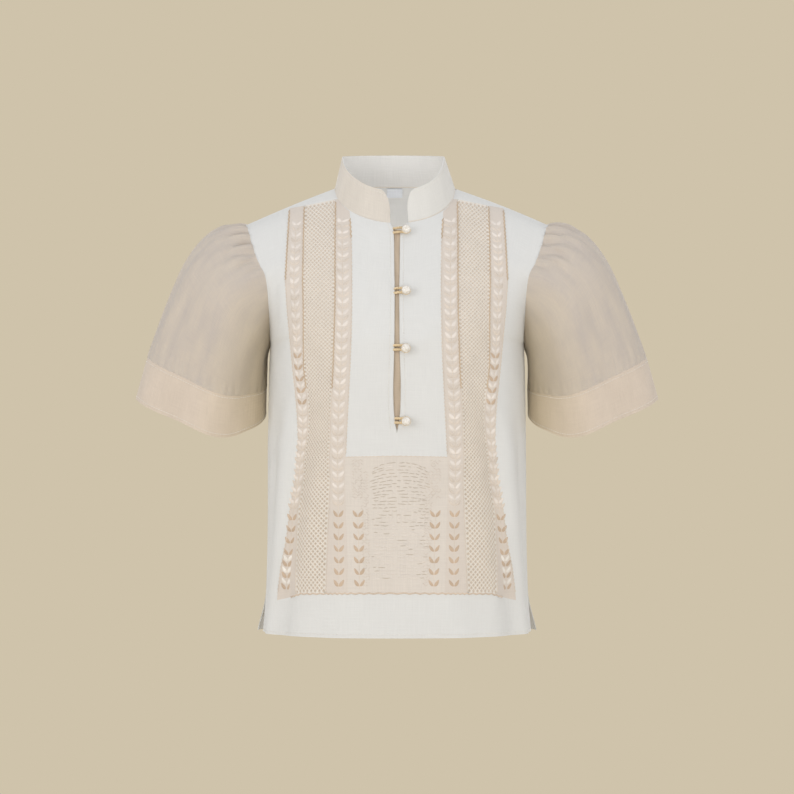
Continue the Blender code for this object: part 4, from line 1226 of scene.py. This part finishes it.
trim = [
    leaves("leaves_tan", TAN_LEAF, tan_spots),
    leaves("leaves_soft", SOFT_LEAF, soft_spots),
    leaves("leaves_satin_highlight", HIGHLIGHT_AND_PALE_SILK, satin_highlight_spots),
    leaves("leaves_white_highlight", WHITE_HIGHLIGHT_LEAF, white_highlight_spots),
]
trim.append(cords("stems", stems, 0.0004, PALE_CORD))


def zigzag(half, u, start_height, end_height, pitch=0.0044, swing=0.0006, out=0.0006):
    """A cord couched along one of the lines between bands, from side to side."""
    count = int(abs(end_height - start_height) / pitch * 2)
    r = half.r_at(u, np.linspace(start_height, end_height, count))
    s, t = half.st(np.full_like(r, u), r)
    sway = swing * np.where(np.arange(count) % 2, 1.0, -1.0)
    return half.near(s, t, sway, np.zeros_like(sway), out), half.read(half.normal, s, t)


# The lines that have a cord: u, and the heights of its top and of its change from pale to tan
CORD_LINES = ((1, -0.036, -0.060), (2, -0.016, -0.240), (3, -0.022, -0.240), (4, -0.026, -0.110))
tan_runs, pale_runs = [], []
for half in FRONTS.values():
    for u, top, change in CORD_LINES:
        tan_runs.append(zigzag(half, u, change, top))
        pale_runs.append(zigzag(half, u, -0.4850 if u > 1 else -0.3190, change))
trim.append(cords("cords_tan", tan_runs, 0.0008, TAN_CORD))
trim.append(cords("cords_pale", pale_runs, 0.00042, PALE_CORD))


def across_front(r_of_u, reach_u, per_band, swing, out):
    """A path from one side of the front to the other, along r_of_u, swinging up and down."""
    parts, ups = [], []
    for side in (-1, 1):
        half = FRONTS[side]
        u = np.linspace(0, reach_u, int(per_band * reach_u))
        s, t = half.st(u, r_of_u(u))
        wave = swing * np.where(np.arange(len(u)) % 2, 1.0, -1.0)
        part, up = half.near(s, t, np.zeros_like(wave), wave, out), half.read(half.normal, s, t)
        parts.append(part[::-1] if side < 0 else part[1:])
        ups.append(up[::-1] if side < 0 else up[1:])
    return np.concatenate(parts), np.concatenate(ups)


run = across_front(lambda u: np.full_like(u, 1.0), 3.4, 10, 0.0006, 0.0006)
trim.append(cords("hem_scallops", [run], 0.0009, HEM_CORD))
run = across_front(lambda u: np.full_like(u, 2.0), 1.0, 26, 0.0003, 0.0004)
trim.append(cords("panel_cord", [run], 0.0004, PALE_CORD))

# Drawn threads across the centre panel: uneven rows of short dashes, the first ones bent like bows
PANEL_HALF_WIDTH = 0.0600
PANEL_LIFT = 0.0005
DASH_ROWS = 34
DASH_TOP = -0.3290
DASH_ROW_STEP = 0.0042
DASH_SPAN = (-0.0235, 0.0290)
BOW_DEPTH = 0.0070
BOW_ROWS = 11
dark_runs, faint_runs = [], []
for number in range(DASH_ROWS):
    height = DASH_TOP - DASH_ROW_STEP * number
    bow = BOW_DEPTH * max(0.0, 1 - number / BOW_ROWS)
    x, stop = DASH_SPAN[0] + rng.uniform(-0.003, 0.002), DASH_SPAN[1] + rng.uniform(-0.002, 0.003)
    row_darkness = 0.80 if number < 13 else 0.45 if number < 19 else 0.12
    while x < stop:
        length = rng.uniform(0.0030, 0.0085)
        middle = x + length / 2
        dark_share = row_darkness + (0.25 if abs(middle - 0.003) > 0.017 else 0.0)
        for side, half in FRONTS.items():
            if middle * side < 0:
                continue
            xs = side * np.maximum(np.linspace(x, x + length, 4) * side, 0)
            bent = height - bow * ((xs - 0.004) / 0.027) ** 2
            r = half.r_at(0.3, bent + rng.normal(0, 0.0005) + rng.normal(0, 0.00025, 4))
            s, t = half.st(np.clip(np.abs(xs) / PANEL_HALF_WIDTH, 0, 1), r)
            (dark_runs if rng.uniform() < dark_share else faint_runs).append(half.laid(s, t, PANEL_LIFT))
        x += length + rng.uniform(0.0006, 0.0024)
trim.append(cords("drawn_threads", dark_runs, 0.00045, DASH, 5))
trim.append(cords("drawn_threads_pale", faint_runs, 0.0004, HIGHLIGHT_AND_PALE_SILK, 5))

# Small crossed stitches beside those rows
Crosses = namedtuple("Crosses", "low_x high_x top bottom")
CROSSES = (Crosses(0.0300, 0.0375, -0.340, -1.0), Crosses(0.0375, 0.0485, -0.326, -0.372))
CROSS_FOOT = -0.478
CROSS_STEP_DOWN = 0.0034
CROSS_STEP_ACROSS = 0.0036
CROSS_REACH = 0.0014
CROSS_SKIPPED = 0.22
cross_runs = []
for half in FRONTS.values():
    for block in CROSSES:
        for height in np.arange(block.top, CROSS_FOOT, -CROSS_STEP_DOWN):
            for x in np.arange(block.low_x, block.high_x, CROSS_STEP_ACROSS):
                if height < block.bottom or rng.uniform() < CROSS_SKIPPED:
                    continue
                r = half.r_at(0.3, np.array([height + rng.normal(0, 0.0003)]))
                s, t = half.st(np.array([(x + rng.normal(0, 0.0003)) / PANEL_HALF_WIDTH]), r)
                s, t = np.repeat(s, 3), np.repeat(t, 3)
                tilt = rng.choice((-1.0, 1.0)) * rng.uniform(0.5, 1.0)
                reach = np.linspace(-CROSS_REACH, CROSS_REACH, 3)
                path = half.near(s, t, reach, reach * tilt, PANEL_LIFT)
                cross_runs.append((path, half.read(half.normal, s, t)))
trim.append(cords("crossed_stitches", cross_runs, 0.00035, SOFT_LEAF, 5))

# Back
column, row = np.meshgrid(np.linspace(0, 1, BACK_COLUMNS + 1), np.linspace(0, 1, BACK_ROWS + 1))
halves = [BACKS[side].at(column, row) for side in (-1, 1)]
flats = [np.stack([side * column * GIRTH_QUARTER, row * BACK_FLAT_LENGTH], -1) for side in (-1, 1)]
middle = (halves[0][:, :1] + halves[1][:, :1]) / 2
grid = np.concatenate([halves[0][:, :0:-1], middle, halves[1][:, 1:]], axis=1)
flat = np.concatenate([flats[0][:, :0:-1], flats[0][:, :1], flats[1][:, 1:]], axis=1)
back_linen = piece(
    "back_linen", grid, grid_quads(*grid.shape[:2], flip=True), BACK_LINEN, flat, LINEN_WALL
)
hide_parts("back")

# Collar
collar_start, collar_end = neck_angle_of(COLLAR_END_RIGHT), neck_angle_of(COLLAR_END_LEFT)
turns = np.concatenate(
    [
        collar_start + (pi / 2 - collar_start) * np.linspace(0, 1, 40) ** 1.6,
        np.linspace(pi / 2, 3 * pi / 2, 61)[1:-1],
        2 * pi - collar_end - (pi / 2 - collar_end) * np.linspace(1, 0, 40) ** 1.6,
    ]
)
collar_rows = np.linspace(0, 1, 13)
grid = np.array([[collar_point(turn, up, collar_start, collar_end) for turn in turns] for up in collar_rows])
flat = np.broadcast_arrays(turns[None, :] * NECK_HALF_WIDTH, collar_rows[:, None] * COLLAR_HEIGHT)
faces = grid_quads(*grid.shape[:2], flip=True)
stand_collar = piece(
    "stand_collar", grid, faces, COLLAR, np.stack(flat, -1), COLLAR_CLOTH_WALL
)
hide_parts("collar")
stand_collar.data.materials.append(COLLAR_INSIDE)
collar_middle = Vector(grid.reshape(-1, 3).mean(axis=0).tolist())
for face in stand_collar.data.polygons:
    away = face.center - collar_middle
    if face.normal.x * away.x + face.normal.y * away.y < 0:
        face.material_index = 1


foot = np.array([collar_point(turn, 0.0, collar_start, collar_end) for turn in turns])
run = (foot + [0, 0, 0.0002], unit(foot * [1.0, 1.0, 0.0]))
collar_seam = cords("collar_seam", [run], 0.0011, COLLAR, 8, has_weave=True)


def collar_edge(inset):
    """The collar's outline, set in from its edge, and the way out from it."""
    path = []
    for turn in np.linspace(collar_start, 2 * pi - collar_end, 260):
        top = collar_point(turn, 1.0, collar_start, collar_end)
        foot = collar_point(turn, 0.0, collar_start, collar_end)
        share = max(0.15, 1 - inset / max(np.linalg.norm(top - foot), 1e-6))
        path.append(foot + (top - foot) * share)
    path = np.array(path)
    return path[4:-4], unit(path * [1.0, 1.0, 0.0])[4:-4]


# Sleeves and cuffs
FINE_GATHERS = 23
FINE_HEIGHT = 0.0062
FINE_LENGTH = 0.055
CREASE_HEIGHT = 0.0012
PUCKERS = 37
PUCKER_HEIGHT = 0.0006


def fine_relief(azimuth, t, shift):
    """Small uneven gathers next to the armhole seam, and soft creases down the sleeve."""
    near_top = (azimuth + pi) % (2 * pi) - pi
    reach = np.clip((radians(95) - np.abs(near_top)) / radians(25), 0, 1)
    phase = near_top * FINE_GATHERS + 1.3 * np.sin(near_top * 5 + shift) + 0.8 * np.sin(near_top * 11 + shift)
    pleat = np.abs(np.cos(phase / 2 - 14 * t)) - 0.64
    in_front = 0.55 + 0.75 * np.exp(-(((near_top - radians(40)) / radians(32)) ** 2))
    total = FINE_HEIGHT * pleat * (0.30 + t / 0.05) * np.exp(-t / FINE_LENGTH) * reach * in_front
    long_phase = near_top * 9 + 1.1 * np.sin(near_top * 3 + 2 * shift) + 1.5 * t
    grown = np.clip(t / 0.2, 0, 1) * np.exp(-(((t - 0.35) / 0.35) ** 2))
    total = total + CREASE_HEIGHT * np.cos(long_phase) * grown
    near_cuff = np.exp(-(((t - CUFF_START) / 0.07) ** 2))
    pucker = np.cos(azimuth * PUCKERS + 1.7 * np.sin(azimuth * 7 + shift))
    return total + PUCKER_HEIGHT * pucker * near_cuff


def sleeve_grid(azimuths, ts, side, out=0.0):
    """Points of a sleeve or cuff, all the way round, and the ways out from it."""
    azimuth, t = np.meshgrid(azimuths, ts)
    plain = sleeve_point(azimuth, t)
    closed = np.concatenate([plain[:, -1:], plain, plain[:, :1]], axis=1)
    outward = unit(np.cross(np.gradient(plain, axis=0), closed[:, 2:] - closed[:, :-2]))
    centre = plain.mean(axis=1, keepdims=True)
    outward *= np.sign(((plain - centre) * outward).sum(-1, keepdims=True))
    calm = np.clip(t / 0.012, 0, 1) * np.clip((CUFF_START - t) / 0.012, 0, 1)
    grid = plain + outward * (fine_relief(azimuth, t, 0.7 * side) * calm + out)[..., None]
    grid[..., 0] *= side
    outward[..., 0] *= side
    return grid, outward


def tube_piece(name, ts, side, wall, look, node):
    """A sleeve or cuff. Its last column has a second place in the flat cloth, so those points are doubled."""
    azimuths = np.linspace(0, 2 * pi, 261)
    grid, _ = sleeve_grid(azimuths[:-1], ts, side)
    grid = np.concatenate([grid, grid[:, :1]], axis=1)
    across = azimuths[None, :] * SLEEVE_FLAT_RADIUS
    flat = np.stack(np.broadcast_arrays(across, np.asarray(ts)[:, None] * SLEEVE_FLAT_LENGTH), -1)
    faces = grid_quads(*grid.shape[:2], flip=side > 0)
    made = piece(name, grid, faces, look, flat, wall, merge=True)
    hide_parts(node)
    return made


sleeve_ts = np.concatenate([np.linspace(0, 0.2, 34), np.linspace(0.2, 0.8, 52)[1:]])
cuff_ts = np.linspace(CUFF_START, 1.0, 18)
sleeves, cuffs = {}, {}
for side, word in SIDES:
    sleeves[side] = tube_piece(
        f"puff_sleeve_{word}", sleeve_ts, side, SLEEVE_CLOTH_WALL, SLEEVE, f"sleeve_{word}"
    )
    cuffs[side] = tube_piece(
        f"linen_cuff_{word}", cuff_ts, side, CUFF_CLOTH_WALL, CUFF, f"cuff_{word}"
    )

# Underlap and label
heights = np.linspace(UNDERLAP_BOTTOM, UNDERLAP_TOP, 61)
half_widths = np.linspace(-UNDERLAP_HALF_WIDTH, UNDERLAP_HALF_WIDTH, 13)
across, high = np.meshgrid(half_widths, heights)
grid, normal = body_at(across, high)
ripple = 0.0003 * np.sin(high * 160 + across * 300)
grid = grid - normal * (LINEN_WALL / 2 + 0.0012 + ripple)[..., None]
flat = np.stack(np.broadcast_arrays(half_widths[None, :], heights[:, None]), -1)
slit_underlap = piece(
    "slit_underlap", grid, grid_quads(*grid.shape[:2]), UNDERLAP, flat, 0.0007
)
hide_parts("underlap")

across, high = np.meshgrid(np.linspace(-0.5, 0.5, 15) * LABEL_WIDTH, np.linspace(0, 1, 7))
grid, normal = body_at(across + NECK_SHIFT, NECK_BACK_RISE - LABEL_DROP - LABEL_HEIGHT * (1 - high), False)
grid = grid - normal * (LINEN_WALL / 2 + LABEL_GAP + 0.0006 * (1 - high) ** 2)[..., None]
flat = np.stack(np.meshgrid(np.linspace(0, LABEL_WIDTH, 15), np.linspace(0, LABEL_HEIGHT, 7)), -1)
neck_label = piece("neck_label", grid, grid_quads(7, 15), LABEL, flat, 0.0006)
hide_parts("label")

# Pearls on thread shanks, and the loops that hold them
PEARL_DROOPS = (0.0026, 0.0020, 0.0014, 0.0006)
PEARL_SIDES = 36
PEARL_FLAT = 0.985
SHANK_TURNS = 5
SHANK_COIL_RADIUS = 0.0008
CAP_RADIUS = 0.0052
CAP_DEPTH = 0.0016
STRAND_OFFSET = 0.00070
STRAND_RADIUS = 0.00098
TWIST_PITCH = 0.0042
for number, height in enumerate(BUTTON_HEIGHTS, 1):
    surface, normal = body_at(BUTTON_X, height)
    surface = surface + normal * PANEL_WALL / 2
    centre = surface + normal * (SHANK_LENGTH + PEARL_RADIUS - 0.0004) - [0, 0, PEARL_DROOPS[number - 1]]
    helper = unit(np.cross(normal, [0, 0, 1.0]))
    other = np.cross(normal, helper)
    around = lambda angles: np.cos(angles)[:, None] * helper + np.sin(angles)[:, None] * other
    longs = np.linspace(0, 2 * pi, PEARL_SIDES, endpoint=False)
    rings = []
    for lat in np.linspace(0.0, pi, 25)[1:-1]:
        along = min(PEARL_RADIUS * cos(lat), PEARL_RADIUS * PEARL_FLAT)
        rings.append(centre + normal * along + PEARL_RADIUS * sin(lat) * around(longs))
    points = np.concatenate(rings)
    faces = grid_quads(len(rings), PEARL_SIDES, closed=True)
    faces += [tuple(range(PEARL_SIDES - 1, -1, -1)), tuple(range(len(points) - PEARL_SIDES, len(points)))]
    pearl = piece(f"pearl_{number}", points, faces, PEARL)
    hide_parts(f"button_{number}")
    rise = np.linspace(0.0002, SHANK_LENGTH, 121)
    wraps = np.linspace(0, SHANK_TURNS * 2 * pi, 121)
    coil = surface + normal * rise[:, None] + SHANK_COIL_RADIUS * around(wraps)
    cords(f"shank_{number}", [(coil, normal)], 0.00035, SEWING)
    cap_ring = centre - normal * CAP_DEPTH + CAP_RADIUS * around(np.linspace(0, 2 * pi, 49))
    cords(f"pearl_cap_{number}", [(cap_ring, normal)], 0.0004, GOLD)

    strand = LOOP_TURN_RADIUS
    narrow = height - strand - LOOP_RADIUS
    start_x = -float(slit_half_width(narrow, -1)) + SEAM_GAP
    edge_x = float(slit_half_width(narrow, 1)) - LOOP_RADIUS - SEAM_GAP
    low, over = LOOP_RADIUS - PANEL_WALL / 2, PANEL_WALL / 2 + SEAM_GAP + LOOP_RADIUS
    run = [(start_x - 0.0012, low, strand), (start_x, low, strand), (start_x + 0.0012, low + 0.0003, strand)]
    run += [(edge_x, over, strand), (BUTTON_X - 0.004, over, strand)]
    turn = [(BUTTON_X + strand * cos(a), over, strand * sin(a)) for a in np.linspace(pi / 2, -pi / 2, 13)]
    marks = np.array(run + turn + [(x, out, -up) for x, out, up in run[::-1]])
    far = distances(marks)
    fine = np.linspace(0, far[-1], 150)
    marks = read_along(marks, far, fine)
    middle, outs = body_at(marks[:, 0], height + marks[:, 2])
    middle = middle + outs * marks[:, 1:2]
    forward = unit(np.gradient(middle, axis=0))
    sideways = unit(np.cross(forward, outs))
    above = np.cross(sideways, forward)
    twist = fine / TWIST_PITCH * 2 * pi
    strands = []
    for phase in (0, pi):
        offset = np.cos(twist + phase)[:, None] * sideways + np.sin(twist + phase)[:, None] * above
        strands.append((middle + STRAND_OFFSET * offset, outs))
    cord_loop = cords(f"cord_loop_{number}", strands, STRAND_RADIUS, GOLD, 7)
    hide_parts(f"loop_{number}")

# Topstitching and folded edges
runs = []
for side in (-1, 1):
    half, back = FRONTS[side], BACKS[side]
    hem_u = np.linspace(0, 4.97, 300)
    runs += stitches(*half.laid(*half.st(hem_u, np.full_like(hem_u, HEM_STITCH_R)), LINEN_WALL / 2))
    slit_r = np.linspace(2.6, R_TOP - 0.03, 200)
    runs += stitches(*half.laid(*half.st(np.full_like(slit_r, SLIT_STITCH_U), slit_r), LINEN_WALL / 2))
    runs += stitches(*back.laid(np.linspace(0, 0.985, 300), BACK_HEM_T, LINEN_WALL / 2))
    azimuths = np.linspace(0, 2 * pi, 301)[:-1]
    for level in CUFF_STITCH_TS:
        levels = [level - 0.004, level, level + 0.004]
        grid, outward = sleeve_grid(azimuths, levels, side, CUFF_CLOTH_WALL / 2)
        runs += stitches(grid[1], outward[1])
path, outward = collar_edge(COLLAR_STITCH_INSET)
runs += stitches(path + outward * COLLAR_CLOTH_WALL / 2, outward)
topstitching = cords("topstitching", runs, 0.00026, SEWING, 5)

runs = []
for side, half in FRONTS.items():
    r = np.linspace(R_PANEL, R_TOP - 0.005, 200)
    s, t = half.st(np.zeros_like(r), r)
    open_here = half.at(s, t)[:, 2] > SLIT[0].z + 0.001
    s, t = s[open_here], t[open_here]
    path = half.near(s, t, np.full_like(s, 0.0005 * side), np.zeros_like(s))
    runs.append((path, half.read(half.normal, s, t)))
slit_edges = cords("slit_edges", runs, 0.0007, LINEN, 8, has_weave=True)

# Armhole seams, where the gathers are drawn in
runs = []
for side in (-1, 1):
    grid, outward = sleeve_grid(np.linspace(0, 2 * pi, 221)[:-1], [0.0, 0.004, 0.008], side)
    close = lambda ring: np.concatenate([ring, ring[:1]])
    runs.append((close(grid[0]), close(outward[1])))
cords("armhole_seams", runs, 0.0008, LINEN, has_weave=True)

# Studio: an even backdrop, a pale floor well below, and large soft lights
AROUND = np.linspace(0, 2 * pi, 96, endpoint=False)


def stage_mesh(name, rings, look, faces):
    """A round surface of the studio, from rings of (radius, height)."""
    mesh = bpy.data.meshes.new(name)
    points = [(radius * cos(a), radius * sin(a), z) for radius, z in rings for a in AROUND]
    mesh.from_pydata(points, [], faces)
    mesh.materials.append(look.material)
    obj = placed(name, mesh)
    return obj


backdrop_look = Look("backdrop_even")
backdrop_look.nodes.remove(backdrop_look.shader)
glow = backdrop_look.add("ShaderNodeEmission", {"Color": (0.624, 0.546, 0.407, 1.0)})
backdrop_look.feed(backdrop_look.nodes["Material Output"].inputs["Surface"], glow.outputs["Emission"])
rings = [(7.0, -2.6), (7.0, 4.0), (5.5, 6.0), (0.5, 7.5)]
backdrop = stage_mesh("backdrop", rings, backdrop_look, grid_quads(4, 96, closed=True))
for ray in ("diffuse", "glossy", "transmission", "volume_scatter", "shadow"):
    setattr(backdrop, f"visible_{ray}", False)

floor_look = Look("floor_plaster")
grain = floor_look.noise(floor_look.add("ShaderNodeTexCoord").outputs["Object"], 3.0, 4.0)
floor_look.set("Base Color", floor_look.ramp(grain, (0.60, 0.53, 0.41), (0.63, 0.56, 0.44)))
floor_look.set("Roughness", 0.9)
rings = [(radius, -1.35) for radius in (0.5, 1.5, 2.5, 3.4)]
stage_mesh("floor", rings, floor_look, grid_quads(4, 96, closed=True, flip=True) + [tuple(range(96))])

world = bpy.data.worlds.new("studio")
bpy.context.scene.world = world
world.use_nodes = True
world.node_tree.nodes["Background"].inputs["Color"].default_value = (1.0, 1.0, 1.0, 1.0)
world.node_tree.nodes["Background"].inputs["Strength"].default_value = 0.78


SOFTBOX_COLOUR = (1.0, 0.995, 0.985)


def softbox(name, place, size, power):
    """A large soft light, aimed at the middle of the shirt."""
    light = bpy.data.lights.new(name, "AREA")
    light.shape = "RECTANGLE"
    light.size, light.size_y = size
    light.energy = power
    light.color = SOFTBOX_COLOUR
    obj = placed(name, light)
    obj.location = place
    aim = Vector((0, 0, -0.27)) - Vector(place)
    obj.rotation_euler = aim.to_track_quat("-Z", "Y").to_euler()
    return obj


# Each softbox: its name, place, size and power in watts
for light in (
    ("key_left", (-2.3, -2.5, 0.3), (1.4, 1.8), 26),
    ("fill_right", (2.4, -2.4, -0.2), (1.4, 1.8), 18),
    ("front", (0.0, -3.6, -1.0), (1.6, 0.6), 14),
    ("top", (0.0, -0.3, 2.2), (2.0, 1.6), 3),
    ("rear", (0.0, 2.6, 0.4), (2.0, 1.6), 34),
):
    softbox(*light)
inside = softbox("inside", (0.0, -0.035, -0.16), (0.10, 0.06), 0.17)
inside.rotation_euler = Vector((0.0, 1.0, 0.65)).to_track_quat("-Z", "Y").to_euler()
inside.visible_camera = False

camera_data = bpy.data.cameras.new("camera")
camera_data.lens = CAMERA_LENS
camera_data.sensor_width = 36.0
camera = placed("camera", camera_data)
camera.location = (0.0, -CAMERA_DISTANCE, CAMERA_HEIGHT)
camera.rotation_euler = (pi / 2, 0.0, 0.0)
bpy.context.scene.camera = camera
bpy.context.scene.view_settings.view_transform = "Standard"
